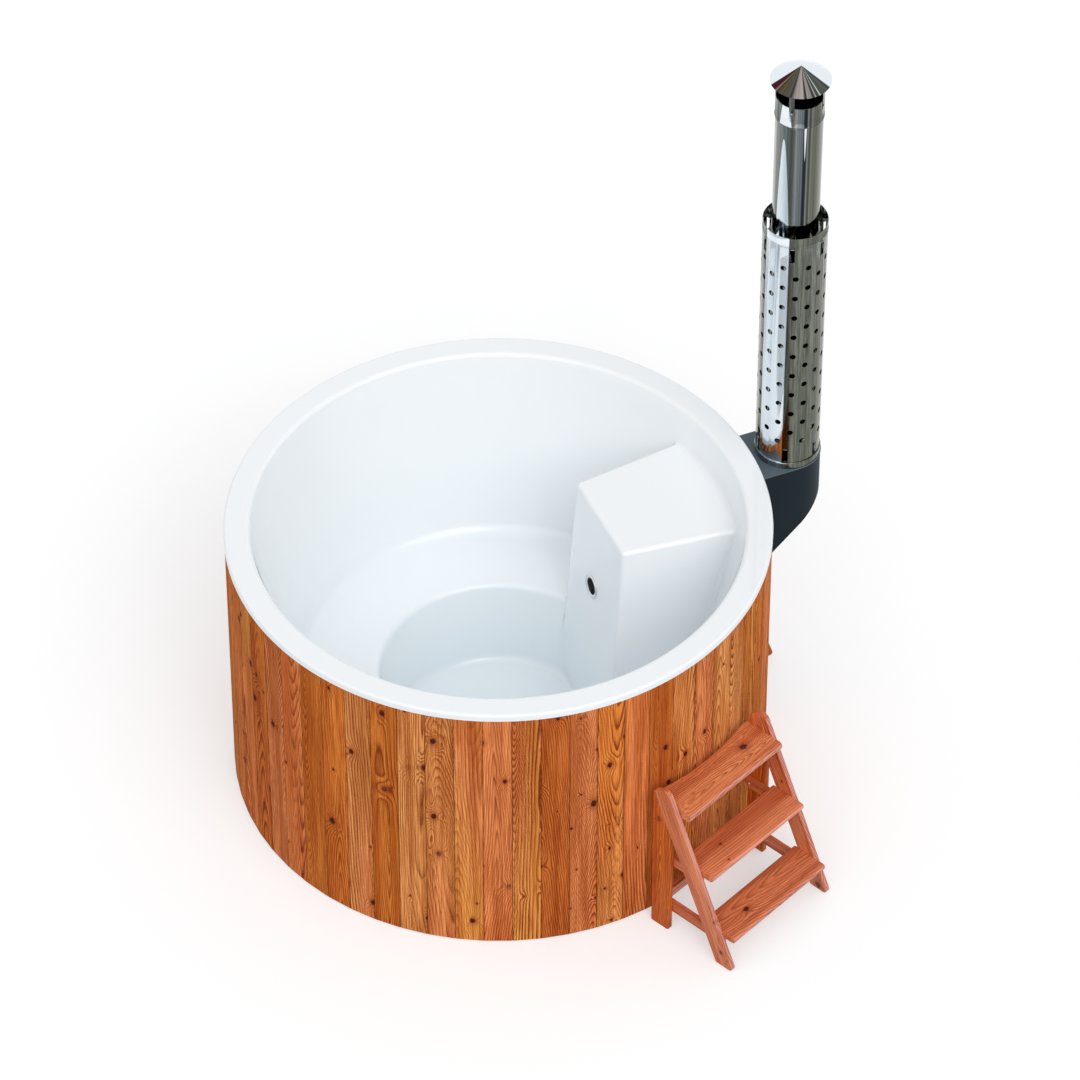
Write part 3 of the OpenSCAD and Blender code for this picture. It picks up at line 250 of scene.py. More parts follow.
# the values of a noise between which its feature fades in
FIBRE_FADE, STRIPE_FADE, PATCH_FADE = (0.38, 0.66), (0.42, 0.62), (0.3, 0.6)
LEAST_PATCH = 0.45
RING_STOPS = ((0.0, 0.0), (0.30, 0.06), (0.60, 0.50), (0.77, 1.0), (0.88, 0.40), (0.95, 0.0))


def scatter(tree, number):
    """Three values from 0 to 1 drawn from a number."""
    return rgb_of(tree, put(tree, "ShaderNodeTexWhiteNoise", {"W": number},
                            noise_dimensions="1D").outputs["Color"])


def trunk_distance(tree, across, depth, along, shift):
    """Distance from the pith, which sways along the board, with the trunk's taper added."""
    pith_luck, depth_luck, taper_luck = scatter(tree, shift)
    sway = grains(tree, triple(tree, times(tree, along, SWAYS_PER_M), shift, 0.0), 1.0, 1.0)
    pith = plus(tree, centred(tree, pith_luck, PITH_SPREAD), centred(tree, sway, PITH_SWAY))
    side = minus(tree, across, pith)
    before = line(tree, power(tree, depth_luck, PITH_BIAS), PITH_MORE, PITH_LEAST)
    return line(tree, along, centred(tree, taper_luck, TAPER),
                root_of_squares(tree, side, plus(tree, before, depth)))


def knots_in(tree, grain, across, along, shift, share):
    """Knots at the points of a stretched cell pattern: knot, halo, and push on the rings."""
    place = triple(tree, line(tree, across, 1 / KNOT_CELL_W, shift),
                   line(tree, along, 1 / KNOT_CELL_H, times(tree, shift, KNOT_SHIFT)), 0.0)
    cells = put(tree, "ShaderNodeTexVoronoi",
                {"Vector": place, "Scale": 1.0, "Randomness": 0.9},
                voronoi_dimensions="2D", feature="F1").outputs
    away_x, away_y, _ = xyz_of(tree, vectors(tree, "SUBTRACT", place, cells["Position"]))
    distance = root_of_squares(tree, times(tree, away_x, KNOT_CELL_W * KNOT_W_SCALE),
                               times(tree, away_y, KNOT_CELL_H * KNOT_H_SCALE))
    luck, size, _ = rgb_of(tree, cells["Color"])
    present = maths(tree, "LESS_THAN", luck, share)
    radius = line(tree, power(tree, size, KNOT_BIAS), KNOT_MORE_R, KNOT_LEAST_R)
    ragged = centred(tree, grains(tree, grain, *RAGGED_NOISE), RAGGED)
    ratio = plus(tree, over(tree, distance, radius), ragged)
    knot = times(tree, ease(tree, ratio, *KNOT_EDGE), present)
    halo = times(tree, ease(tree, ratio, *HALO_EDGE), present)
    squeeze = power(tree, over(tree, distance, times(tree, radius, PUSH_REACH)), 2.0)
    fading = maths(tree, "EXPONENT", times(tree, squeeze, -1.0))
    swell = times(tree, times(tree, radius, present), times(tree, fading, PUSH))
    return knot, halo, swell


def make_plank_figure():
    tree, given, out = shader_group(
        "plank_figure", [("Grain", "Vector")] + floats("Board", "Ring Gap", "Knots"),
        floats("Late Wood", "Knot", "Halo", "Fibre", "Stripe", "Tone", "Height"))
    grain = given.outputs["Grain"]
    across, depth, along = xyz_of(tree, grain)
    shift = times(tree, given.outputs["Board"], BOARD_SHIFT)
    moved = vectors(tree, "ADD", grain, triple(tree, shift, 0.0, shift))
    tone, gap_luck, knot_luck = scatter(tree, plus(tree, shift, TONE_DRAW))
    late_luck = scatter(tree, plus(tree, shift, LATE_DRAW))[0]

    trunk = trunk_distance(tree, across, depth, along, shift)
    share = times(tree, given.outputs["Knots"], line(tree, knot_luck, *KNOT_LUCK))
    knot, halo, swell = knots_in(tree, grain, across, along, shift, share)

    # rings, warped a little everywhere and pushed aside by the knots
    slow = centred(tree, streaks(tree, moved, *SLOW_WARP), SLOW_SHARE)
    quick = centred(tree, streaks(tree, moved, *QUICK_WARP), QUICK_SHARE)
    field = plus(tree, plus(tree, trunk, swell), plus(tree, slow, quick))
    gap = times(tree, given.outputs["Ring Gap"], line(tree, gap_luck, *GAP_LUCK))
    ring = ramp(tree, maths(tree, "FRACT", over(tree, field, gap)),
                [(place, (v, v, v, 1)) for place, v in RING_STOPS])
    patchy = ease(tree, streaks(tree, moved, *PATCHES), *PATCH_FADE, start=LEAST_PATCH)
    late = times(tree, times(tree, ring, patchy), line(tree, late_luck, *LATE_LUCK))

    fibre = ease(tree, streaks(tree, moved, *FIBRES), *FIBRE_FADE)
    return closed(tree, out, {
        "Late Wood": late, "Knot": knot, "Halo": halo, "Fibre": fibre, "Tone": tone,
        "Stripe": ease(tree, streaks(tree, moved, *STRIPES), *STRIPE_FADE),
        "Height": line(tree, fibre, 0.4, times(tree, late, 0.6))})


PLANK_FIGURE = make_plank_figure()
FIBRE_TINT, HALO_TINT, SEAM_TINT = tint(200, 168, 150), tint(158, 72, 36), tint(88, 50, 24)
HALO_SHARE, KNOT_SHARE, SEAM_SHARE, PAINTED_SHEEN_SHARE = 0.6, 0.92, 0.62, 0.8
PAINTED_SHEEN_FACING = 0.80, 0.96                # cosines between which the painted sheen sets in
SEAM_NOISE, SEAM_WANDER = ((60.0, 60.0, 14.0), 2.0), 0.0022
LATE_POLISH = 0.08                      # late wood is this much less rough


def wood(name, tones, shade, late, knot, ring_gap, knots, roughness, sheen, late_share=0.8,
         stripe_share=0.6, fibre_share=0.45, seam=0.0, painted_sheen=None):
    """Boards of one timber; each board takes its own tone, rings and knots.

    seam is the distance from a board's middle at which it has darkened towards its joint; the
    last argument is (direction, colour) of a painted sheen: faces turned that way are painted
    paler.
    """
    material, tree, shader = finish_with(name, Specular_IOR_Level=sheen)
    grain = put(tree, "ShaderNodeAttribute", attribute_name="grain").outputs["Vector"]
    board = put(tree, "ShaderNodeAttribute", attribute_name="board").outputs["Fac"]
    figure = put(tree, "ShaderNodeGroup",
                 {"Grain": grain, "Board": board, "Ring Gap": ring_gap, "Knots": knots},
                 node_tree=PLANK_FIGURE).outputs

    def share(output, amount):
        return times(tree, figure[output], amount)

    stops = [(i / len(tones), tint(*t)) for i, t in enumerate(tones)]
    colour = ramp(tree, figure["Tone"], stops, "CONSTANT")
    colour = blend(tree, share("Stripe", stripe_share), colour, tint(*shade), "MULTIPLY")
    # painted sheen: faces turned the given way are painted paler
    if painted_sheen:
        facing = vectors(tree, "DOT_PRODUCT", surface_normal(tree), painted_sheen[0], "Value")
        colour = blend(tree, ease(tree, facing, *PAINTED_SHEEN_FACING, end=PAINTED_SHEEN_SHARE), colour,
                       tint(*painted_sheen[1]))
    colour = blend(tree, share("Fibre", fibre_share), colour, FIBRE_TINT, "MULTIPLY")
    colour = blend(tree, share("Late Wood", late_share), colour, tint(*late))
    colour = blend(tree, share("Halo", HALO_SHARE), colour, HALO_TINT)
    colour = blend(tree, share("Knot", KNOT_SHARE), colour, tint(*knot))
    if seam:
        edge = maths(tree, "ABSOLUTE", xyz_of(tree, grain)[0])
        wander = centred(tree, streaks(tree, grain, *SEAM_NOISE), SEAM_WANDER)
        dark = ease(tree, plus(tree, edge, wander), seam - SEAM_WANDER, seam, end=SEAM_SHARE)
        colour = blend(tree, dark, colour, SEAM_TINT)
    wire(tree, shader, colour, line(tree, figure["Late Wood"], -LATE_POLISH, roughness),
         raised(tree, figure["Height"], strength=0.35, distance=0.0006))
    return material


# the steps' narrow faces turn out and a little up; the step timber paints them paler as a
# painted sheen
NARROW_FACES = STEPS_OUT * math.cos(math.radians(15)) + UP * math.sin(math.radians(15))
LARCH = wood(
    "cladding_larch",
    tones=[(255, 178, 90), (255, 156, 92), (232, 140, 62), (255, 178, 106), (252, 154, 72),
           (224, 128, 60), (255, 162, 102)],
    shade=(198, 162, 120), late=(130, 53, 20), knot=(52, 22, 22), ring_gap=0.0094, knots=0.32,
    roughness=0.80, sheen=0.03, late_share=1.6, fibre_share=0.95, seam=0.0468)
STEP_LARCH = wood(
    "step_larch",
    tones=[(250, 158, 104), (242, 144, 96), (252, 160, 112)],
    shade=(204, 160, 132), late=(132, 56, 32), knot=(56, 20, 22), ring_gap=0.0084, knots=0.50,
    roughness=0.42, sheen=0.30, late_share=1.1, fibre_share=0.8,
    # the narrow faces are painted a paler pink, a painted sheen
    painted_sheen=(NARROW_FACES, (238, 168, 152)))
LEG_LARCH = wood(
    "step_leg_larch",
    tones=[(252, 140, 52), (242, 130, 48)],
    shade=(200, 152, 110), late=(118, 50, 18), knot=(56, 20, 22), ring_gap=0.0090, knots=0.30,
    roughness=0.50, sheen=0.15, late_share=1.2, fibre_share=0.8)
RUNNER_LARCH = wood(
    "runner_larch",
    tones=[(206, 122, 66), (194, 110, 56)],
    shade=(205, 170, 140), late=(138, 70, 34), knot=(62, 30, 20), ring_gap=0.0060, knots=0.12,
    roughness=0.55, sheen=0.15)
PALE_PINE = wood(
    "frame_pine",
    tones=[(226, 190, 136), (218, 178, 120), (232, 198, 148)],
    shade=(220, 190, 160), late=(188, 138, 82), knot=(92, 54, 30), ring_gap=0.0050, knots=0.12,
    roughness=0.62, sheen=0.15, fibre_share=0.25)
GRIP_BEECH = wood(
    "grip_beech",
    tones=[(182, 122, 72)],
    shade=(205, 170, 140), late=(140, 86, 48), knot=(90, 50, 28), ring_gap=0.0030, knots=0.0,
    roughness=0.4, sheen=0.3, fibre_share=0.25)

PLY_T = 0.0030


def make_plywood():
    """Plies show on the edges and a peeled figure on the faces."""
    material, tree, shader = finish_with("plywood", Roughness=0.6)
    place = object_place(tree)
    layer = maths(tree, "FRACT", over(tree, xyz_of(tree, place)[2], PLY_T))
    edge = blend(tree, ease(tree, layer, 0.45, 0.55), tint(206, 164, 112), tint(150, 104, 62))
    figure = streaks(tree, place, (5.0, 60.0, 60.0), 4.0, 0.6)
    face = blend(tree, ease(tree, figure, 0.35, 0.7), tint(214, 176, 122), tint(184, 138, 86))
    flat = ease(tree, maths(tree, "ABSOLUTE", xyz_of(tree, surface_normal(tree))[2]), 0.6, 0.8)
    wire(tree, shader, blend(tree, flat, edge, face),
         normal=raised(tree, figure, strength=0.2, distance=0.0005))
    return material


def make_foam():
    material, tree, shader = finish_with("sprayed_foam", Roughness=0.8)
    lumps = grains(tree, object_place(tree), 22.0, 4.0, 0.6)
    wire(tree, shader, blend(tree, lumps, tint(232, 214, 150), tint(206, 180, 112)),
         normal=raised(tree, lumps, strength=0.8, distance=0.01))
    return material


# ---- Steel: painted reflections round a tube or a cone's axis, with streaks along the tube or out from the cone's tip, brushed sheet, coated sheet ----

LEAST_R = 0.0005                # keeps the tube's axis itself from a division by zero
STREAK_NOISE, STREAK_FADE = (3.0, 0.7, 0.3), (0.34, 0.62)
DULL_RED = 0.70, 0.45           # the red of a tube's colour below which streaks set in
# shape of the painted highlights: softness of their sides and tip, and how their width rounds
# off towards the tip
GLEAM_SIDE, GLEAM_TIP, GLEAM_ROUNDING = (-0.001, 0.003), (0.0, 0.02), 0.55


def make_tube_streaks():
    """Streaks along the chimney's tubes, the share of a turn round its axis, and the height."""
    tree, given, out = shader_group(
        "tube_streaks", floats("Fineness", "Climb"), floats("Fine", "Round", "Height"))
    x, y, z = xyz_of(tree, object_place(tree))
    x = minus(tree, x, CHIMNEY_X)
    length = maths(tree, "MAXIMUM", root_of_squares(tree, x, y), LEAST_R)
    ring = triple(tree, over(tree, x, length), over(tree, y, length),
                  times(tree, z, given.outputs["Climb"]))
    fine = ease(tree, grains(tree, ring, given.outputs["Fineness"], *STREAK_NOISE), *STREAK_FADE)
    turn = over(tree, maths(tree, "ARCTAN2", y, x), math.tau)
    part = maths(tree, "FRACT", plus(tree, turn, 1.0))
    return closed(tree, out, {"Fine": fine, "Round": part, "Height": z})


def make_wedge_gleam():
    """1 inside a tall painted highlight that narrows from left and right at height low to tip at
    high.
    """
    sockets = floats("Round", "Height", "Left", "Right", "Tip", "Low", "High")
    tree, given, out = shader_group("wedge_gleam", sockets, floats("Mask"))
    part, height, left, right, tip, low, high = (given.outputs[name] for name, _ in sockets)
    rise = maths(tree, "DIVIDE", minus(tree, high, height), minus(tree, high, low), clamp=True)
    spread = power(tree, rise, GLEAM_ROUNDING)
    from_left = minus(tree, part, line(tree, spread, minus(tree, left, tip), tip))
    to_right = minus(tree, line(tree, spread, minus(tree, right, tip), tip), part)
    inside = maths(tree, "MINIMUM", from_left, to_right)
    return closed(tree, out, {
        "Mask": times(tree, ease(tree, inside, *GLEAM_SIDE), ease(tree, rise, *GLEAM_TIP))})


def make_brushing():
    """Noise drawn out by its own scale along each axis."""
    tree, given, out = shader_group("brushing", [("Stretch", "Vector")], floats("Lines"))
    return closed(tree, out, {
        "Lines": streaks(tree, object_place(tree), given.outputs["Stretch"], 4.0, 0.65)})


def make_coat_texture():
    """Slow clouds and a fine grain."""
    tree, given, out = shader_group(
        "coat_texture", floats("Cloud Scale", "Fineness"), floats("Cloud", "Fine"))
    place = object_place(tree)
    return closed(tree, out, {
        "Cloud": grains(tree, place, given.outputs["Cloud Scale"], 3.0),
        "Fine": grains(tree, place, given.outputs["Fineness"], 2.0)})


TUBE_STREAKS, WEDGE_GLEAM = make_tube_streaks(), make_wedge_gleam()
BRUSHING, COAT_TEXTURE = make_brushing(), make_coat_texture()
# colours of the painted reflections on the chimney's polished steel; the last is a painted
# highlight
OLIVE, GREY, SHADE, GLEAM = (126, 130, 118), (150, 155, 152), (84, 88, 80), (234, 240, 244)
STREAK, CONE_STREAK = (70, 74, 68), (110, 104, 98)


def tube_steel(name, painted_reflections, fineness, climb, roughness, streak=STREAK, streak_share=0.5,
               gleams=()):
    """Polished tube with painted reflections, given as (share of the turn, colour) round the
    chimney's axis, with streaks on the darker ones; painted highlights are laid over them.
    """
    material, tree, shader = finish_with(name, Metallic=1.0)
    masks = put(tree, "ShaderNodeGroup", {"Fineness": fineness, "Climb": climb},
                node_tree=TUBE_STREAKS).outputs
    # painted reflections: the colour changes round the chimney's axis as the given pairs say
    colour = ramp(tree, masks["Round"], [(place, tint(*c)) for place, c in painted_reflections])
    # painted highlights: pale wedges laid over the painted reflections
    for left, right, tip, low, high in gleams:
        gleam = put(tree, "ShaderNodeGroup",
                    {"Round": masks["Round"], "Height": masks["Height"], "Left": left,
                     "Right": right, "Tip": tip, "Low": low, "High": high},
                    node_tree=WEDGE_GLEAM)
        colour = blend(tree, gleam.outputs["Mask"], colour, tint(*GLEAM))
    dull = ease(tree, rgb_of(tree, colour)[0], *DULL_RED)
    lines = times(tree, masks["Fine"], times(tree, dull, streak_share))
    wire(tree, shader, blend(tree, lines, colour, tint(*streak), "MULTIPLY"),
         line(tree, masks["Fine"], 0.06, roughness))
    return material


def steel(name, colour, roughness, brush=(2.0, 2.0, 60.0), share=0.25):
    """Sheet steel with brushing or a light mottle."""
    material, tree, shader = finish_with(name, Metallic=1.0)
    lines = put(tree, "ShaderNodeGroup", {"Stretch": brush}, node_tree=BRUSHING).outputs["Lines"]
    darker = tuple(max(0, c - 70) for c in colour)
    wire(tree, shader, blend(tree, times(tree, lines, share), tint(*colour), tint(*darker)),
         line(tree, lines, 0.14, roughness - 0.05))
    return material


def powder_coat(name, colour, roughness, grain_height=0.25, sheen=0.3):
    """Painted or coated steel with a fine texture."""
    material, tree, shader = finish_with(name, Specular_IOR_Level=sheen)
    texture = put(tree, "ShaderNodeGroup", {"Cloud Scale": 6.0, "Fineness": 900.0},
                  node_tree=COAT_TEXTURE).outputs
    darker = tuple(round(c * 0.8) for c in colour)
    wire(tree, shader, blend(tree, texture["Cloud"], tint(*colour), tint(*darker)),
         line(tree, texture["Cloud"], 0.12, roughness - 0.06),
         raised(tree, texture["Fine"], strength=grain_height, distance=0.0003))
    return material


def make_liner_gloss():
    """Glossy white, with a painted shade: a little darker and cooler towards the floor."""
    material, tree, shader = finish_with(
        "liner_gloss", Roughness=0.45, Specular_IOR_Level=0.15, Coat_Weight=1.0,
        Coat_Roughness=0.02, Coat_IOR=1.49)
    place = object_place(tree)
    # painted shade: below a height that wanders with noise, the colour turns a little darker and
    # cooler
    height = line(tree, grains(tree, place, 3.0), 0.06, xyz_of(tree, place)[2])
    wire(tree, shader,
         blend(tree, ease(tree, height, 0.75, 0.10), tint(243, 246, 248), tint(238, 245, 249)),
         normal=raised(tree, grains(tree, place, 14.0, 1.0), strength=0.05, distance=0.002))
    return material


def make_seal_rope():
    material, tree, shader = finish_with("seal_rope", Roughness=0.85)
    _, y, z = xyz_of(tree, object_place(tree))
    twist = maths(tree, "SINE", times(tree, plus(tree, y, z), 1500.0))
    wire(tree, shader,
         blend(tree, ease(tree, twist, -1.0, 1.0), tint(120, 116, 104), tint(196, 190, 172)),
         normal=raised(tree, twist, strength=0.6, distance=0.0008))
    return material


# painted reflections round the chimney's axis for each steel part, as (share of the turn,
# colour): light and dark reflected surroundings painted into the colour
PIPE_PAINTED_REFLECTIONS = [
    (0.0, GREY), (0.06, OLIVE), (0.12, SHADE), (0.18, GREY), (0.24, GLEAM), (0.29, GLEAM),
    (0.295, SHADE), (0.36, OLIVE), (0.42, (158, 163, 158)), (0.500, (152, 157, 152)),
    (0.512, (88, 96, 82)), (0.530, (142, 147, 140)), (0.60, (132, 138, 134)),
    (0.640, (112, 116, 106)), (0.655, (160, 156, 150)), (0.668, (136, 146, 150)),
    (0.700, (116, 126, 130)), (0.712, (48, 54, 56)), (0.730, (42, 46, 48)),
    (0.736, (150, 154, 148)), (0.748, (70, 74, 68)), (0.765, (126, 128, 116)),
    (0.80, (96, 98, 86)), (0.84, (132, 134, 122)), (0.88, (110, 112, 100)),
    (0.926, (164, 168, 162)), (1.0, GREY)]
SHIELD_PAINTED_REFLECTIONS = [
    (0.0, GREY), (0.08, OLIVE), (0.16, SHADE), (0.205, SHADE), (0.21, GLEAM), (0.30, GLEAM),
    (0.305, OLIVE), (0.38, SHADE), (0.43, (132, 140, 134)), (0.500, (150, 156, 150)),
    (0.513, (104, 112, 106)), (0.518, GLEAM), (0.575, (222, 230, 238)), (0.600, GLEAM),
    (0.648, (238, 242, 246)), (0.652, (84, 88, 80)), (0.70, (122, 126, 116)),
    (0.76, (108, 112, 100)), (0.82, (120, 122, 110)), (0.88, (104, 104, 90)),
    (0.926, (140, 142, 130)), (1.0, GREY)]
COLLAR_PAINTED_REFLECTIONS = [
    (0.0, GREY), (0.2, SHADE), (0.26, GLEAM), (0.40, GREY), (0.50, (170, 178, 184)),
    (0.64, (196, 204, 210)), (0.68, (128, 130, 120)), (0.80, (108, 110, 98)),
    (0.926, (150, 154, 146)), (1.0, GREY)]
CONE_PAINTED_REFLECTIONS = [
    (0.0, GLEAM), (0.478, GLEAM), (0.484, (24, 20, 20)), (0.495, (84, 30, 36)),
    (0.523, (78, 32, 36)), (0.530, (156, 146, 132)), (0.540, (62, 58, 48)),
    (0.561, (98, 92, 58)), (0.588, (90, 84, 72)), (0.612, (104, 100, 94)),
    (0.630, (56, 52, 50)), (0.640, (146, 140, 134)), (0.663, (184, 176, 168)),
    (0.692, (186, 176, 170)), (0.700, (64, 58, 54)), (0.708, (60, 56, 52)),
    (0.714, (168, 160, 154)), (0.735, (156, 152, 146)), (0.742, (66, 66, 62)),
    (0.754, (84, 84, 80)), (0.758, (208, 206, 200)), (0.763, (70, 74, 70)),
    (0.780, (84, 88, 84)), (0.785, (228, 228, 222)), (0.791, (76, 82, 78)),
    (0.840, (98, 104, 98)), (0.862, (40, 42, 40)), (0.872, GLEAM), (1.0, GLEAM)]
# painted highlights: (left, right and tip as shares of the turn, height of the wide end, height
# of the tip)
PIPE_GLEAMS = [(0.524, 0.633, 0.5735, 2.0, 2.385), (0.712, 0.729, 0.7205, 2.44, 2.30)]
SLEEVE_GLEAMS = [(0.535, 0.629, 0.5785, 2.44, 2.56)]

FINISHES = {
    "liner": make_liner_gloss(),
    "larch": LARCH,
    "step_larch": STEP_LARCH,
    "leg_larch": LEG_LARCH,
    "runner_larch": RUNNER_LARCH,
    "pine": PALE_PINE,
    "beech": GRIP_BEECH,
    "plywood": make_plywood(),
    "foam": make_foam(),
    "rope": make_seal_rope(),
    "pipe": tube_steel("flue_pipe_steel", PIPE_PAINTED_REFLECTIONS, fineness=16.0, climb=0.02, roughness=0.06,
                       gleams=PIPE_GLEAMS),
    "sleeve": tube_steel("cap_sleeve_steel", PIPE_PAINTED_REFLECTIONS, fineness=16.0, climb=0.02,
                         roughness=0.06, gleams=SLEEVE_GLEAMS),
    "shield": tube_steel("heat_shield_steel", SHIELD_PAINTED_REFLECTIONS, fineness=15.0, climb=0.45,
                         roughness=0.07),
    "collar": tube_steel("collar_steel", COLLAR_PAINTED_REFLECTIONS, fineness=10.0, climb=1.0,
                         roughness=0.10),
    "cone": tube_steel("rain_cap_steel", CONE_PAINTED_REFLECTIONS, fineness=26.0, climb=0.0, roughness=0.10,
                       streak=CONE_STREAK, streak_share=0.4),
    "chrome": steel("port_chrome", (226, 229, 232), 0.08, brush=(3.0, 3.0, 200.0), share=0.2),
    "stainless": steel("brushed_stainless", (186, 188, 190), 0.28),
    "brass": steel("valve_brass", (190, 150, 72), 0.25, brush=(40.0, 40.0, 40.0), share=0.35),
    "anthracite": powder_coat("flue_box_anthracite", (28, 42, 50), 0.5, 0.08, sheen=0.08),
    "lid": powder_coat("flue_box_lid_grey", (90, 106, 116), 0.36),
    "black_steel": powder_coat("heater_black", (34, 34, 36), 0.5),
    "iron": powder_coat("cast_iron", (44, 44, 46), 0.62, 0.8),
    "rubber": powder_coat("black_rubber", (28, 28, 30), 0.7, 0.5),
    "red": powder_coat("lever_red", (158, 34, 30), 0.35, 0.1),
}

# ---- Grain: board-local coordinates kept on every wooden piece ----

def islands(mesh):
    """Lists of the vertices of each loose part of a mesh."""
    near = [[] for _ in mesh.vertices]
    for edge in mesh.edges:
        a, b = edge.vertices
        near[a].append(b)
        near[b].append(a)
    seen = [False] * len(near)
    for start in range(len(near)):
        if seen[start]:
            continue
        seen[start] = True
        part, waiting = [], [start]
        while waiting:
            v = waiting.pop()
            part.append(v)
            for other in near[v]:
                if not seen[other]:
                    seen[other] = True
                    waiting.append(other)
        yield part


def lay_grain(mesh, setting, seed):
    """Store (across, depth, along) and a number per board.

    setting(centre) gives the board's origin, its directions across and along, and its key.
    """
    mesh.attributes.new("grain", "FLOAT_VECTOR", "POINT")
    mesh.attributes.new("board", "FLOAT", "POINT")
    grain, board = mesh.attributes["grain"].data, mesh.attributes["board"].data
    for part in islands(mesh):
        points = [mesh.vertices[v].co for v in part]
        low = Vector([min(p[i] for p in points) for i in range(3)])
        high = Vector([max(p[i] for p in points) for i in range(3)])
        origin, across, along, key = setting((low + high) / 2)
        depth = along.cross(across)
        number = random.Random(seed + key).random()
        for v in part:
            p = mesh.vertices[v].co - origin
            grain[v].vector = (p.dot(across), p.dot(depth), p.dot(along))
            board[v].value = number


def round_tub(centre):
    """Board coordinates of the cladding: across along the face, along upwards."""
    index = round((math.atan2(centre.y, centre.x) - BOARD_TURN) / BOARD_STEP) % BOARDS
    angle = BOARD_TURN + index * BOARD_STEP
    out = Vector((math.cos(angle), math.sin(angle), 0))
    return out * BOARD_FACE, UP.cross(out), UP, str(index)


def straight(across, along):
    """Board coordinates of a straight piece with the given directions."""
    def setting(centre):
        return centre, across, along, "%.2f %.2f %.2f" % tuple(centre)
    return setting


# ---- Pieces dressed from the construction's shapes ----

SHARP = math.radians(32)        # edges that turn by more stay sharp, or are rounded
FLAT = math.radians(0.4)        # faces that turn by less are one face
SAME_SPOT = 2e-6
BODY_OF = {node: body for body, nodes in frame["record"]["behaviour"]["bodies"].items()
           for node in nodes}


def placed(name, data):
    """A new object in the scene that holds the data."""
    thing = bpy.data.objects.new(name, data)
    bpy.context.scene.collection.objects.link(thing)
    return thing


def new_piece(mesh, finish, node):
    """The mesh as the finished piece that stands in for a node."""
    piece = placed(node + "_finished", mesh)
    mesh.materials.clear()
    mesh.materials.append(FINISHES[finish])
    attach(piece, BODY_OF[node])
    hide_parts(node)


def clean_copy(node):
    """The node's mesh with its flat faces whole again."""
    mesh = frame["nodes"][node].data.copy()
    form = bmesh.new()
    form.from_mesh(mesh)
    bmesh.ops.remove_doubles(form, verts=form.verts, dist=SAME_SPOT)
    bmesh.ops.dissolve_limit(form, angle_limit=FLAT, verts=form.verts, edges=form.edges)
    form.to_mesh(mesh)
    form.free()
    return mesh


def through(mesh, kind, **settings):
    """The mesh after one modifier."""
    holder = placed("holder", mesh)
    modifier = holder.modifiers.new("step", kind)
    for key, value in settings.items():
        setattr(modifier, key, value)
    graph = bpy.context.evaluated_depsgraph_get()
    done = bpy.data.meshes.new_from_object(
        holder.evaluated_get(graph), preserve_all_data_layers=True, depsgraph=graph)
    bpy.data.objects.remove(holder)
    return done


def eased(mesh, width, segments):
    """The mesh with its curved faces smooth and, where a width is given, its edges rounded."""
    mesh.shade_smooth()
    mesh.set_sharp_from_angle(angle=SHARP)
    if not width:
        return mesh
    return through(mesh, "BEVEL", width=width, segments=segments, limit_method="ANGLE",
                   angle_limit=SHARP, harden_normals=True, use_clamp_overlap=True)


def dress(node, finish, edge, setting=None, segments=2):
    """Stand a finished copy in for a node: edges rounded, curves smooth, grain if it is wood."""
    mesh = clean_copy(node)
    if setting:
        lay_grain(mesh, setting, node)
    new_piece(eased(mesh, edge, segments), finish, node)


for group in ("1", "2", "3", "4", "5", "6", "hatch"):
    dress("cladding_" + group, "larch", 0.0008, round_tub)

for stringer in ("stringer_left", "stringer_right"):
    dress(stringer, "step_larch", 0.0035, straight(STRINGER_ACROSS, STRINGER_RISE), segments=3)
dress("step_legs", "leg_larch", 0.003, straight(STEPS_OUT, UP), segments=3)
for tread in ("tread_top", "tread_middle", "tread_bottom"):
    dress(tread, "step_larch", 0.002, straight(STEPS_OUT, STEPS_SIDE))
dress("side_rails", "step_larch", 0.002, straight(UP, STEPS_OUT))
dress("cross_rail", "step_larch", 0.002, straight(UP, STEPS_SIDE))
dress("heater_runners", "runner_larch", 0.003, straight(UP, ALONG_X))
dress("ground_bearers", "pine", 0.002, straight(ALONG_X, ALONG_Y))
dress("wall_posts", "pine", 0.002, straight(ALONG_X, UP))
dress("latch_grip", "beech", 0, straight(ALONG_Y, UP))

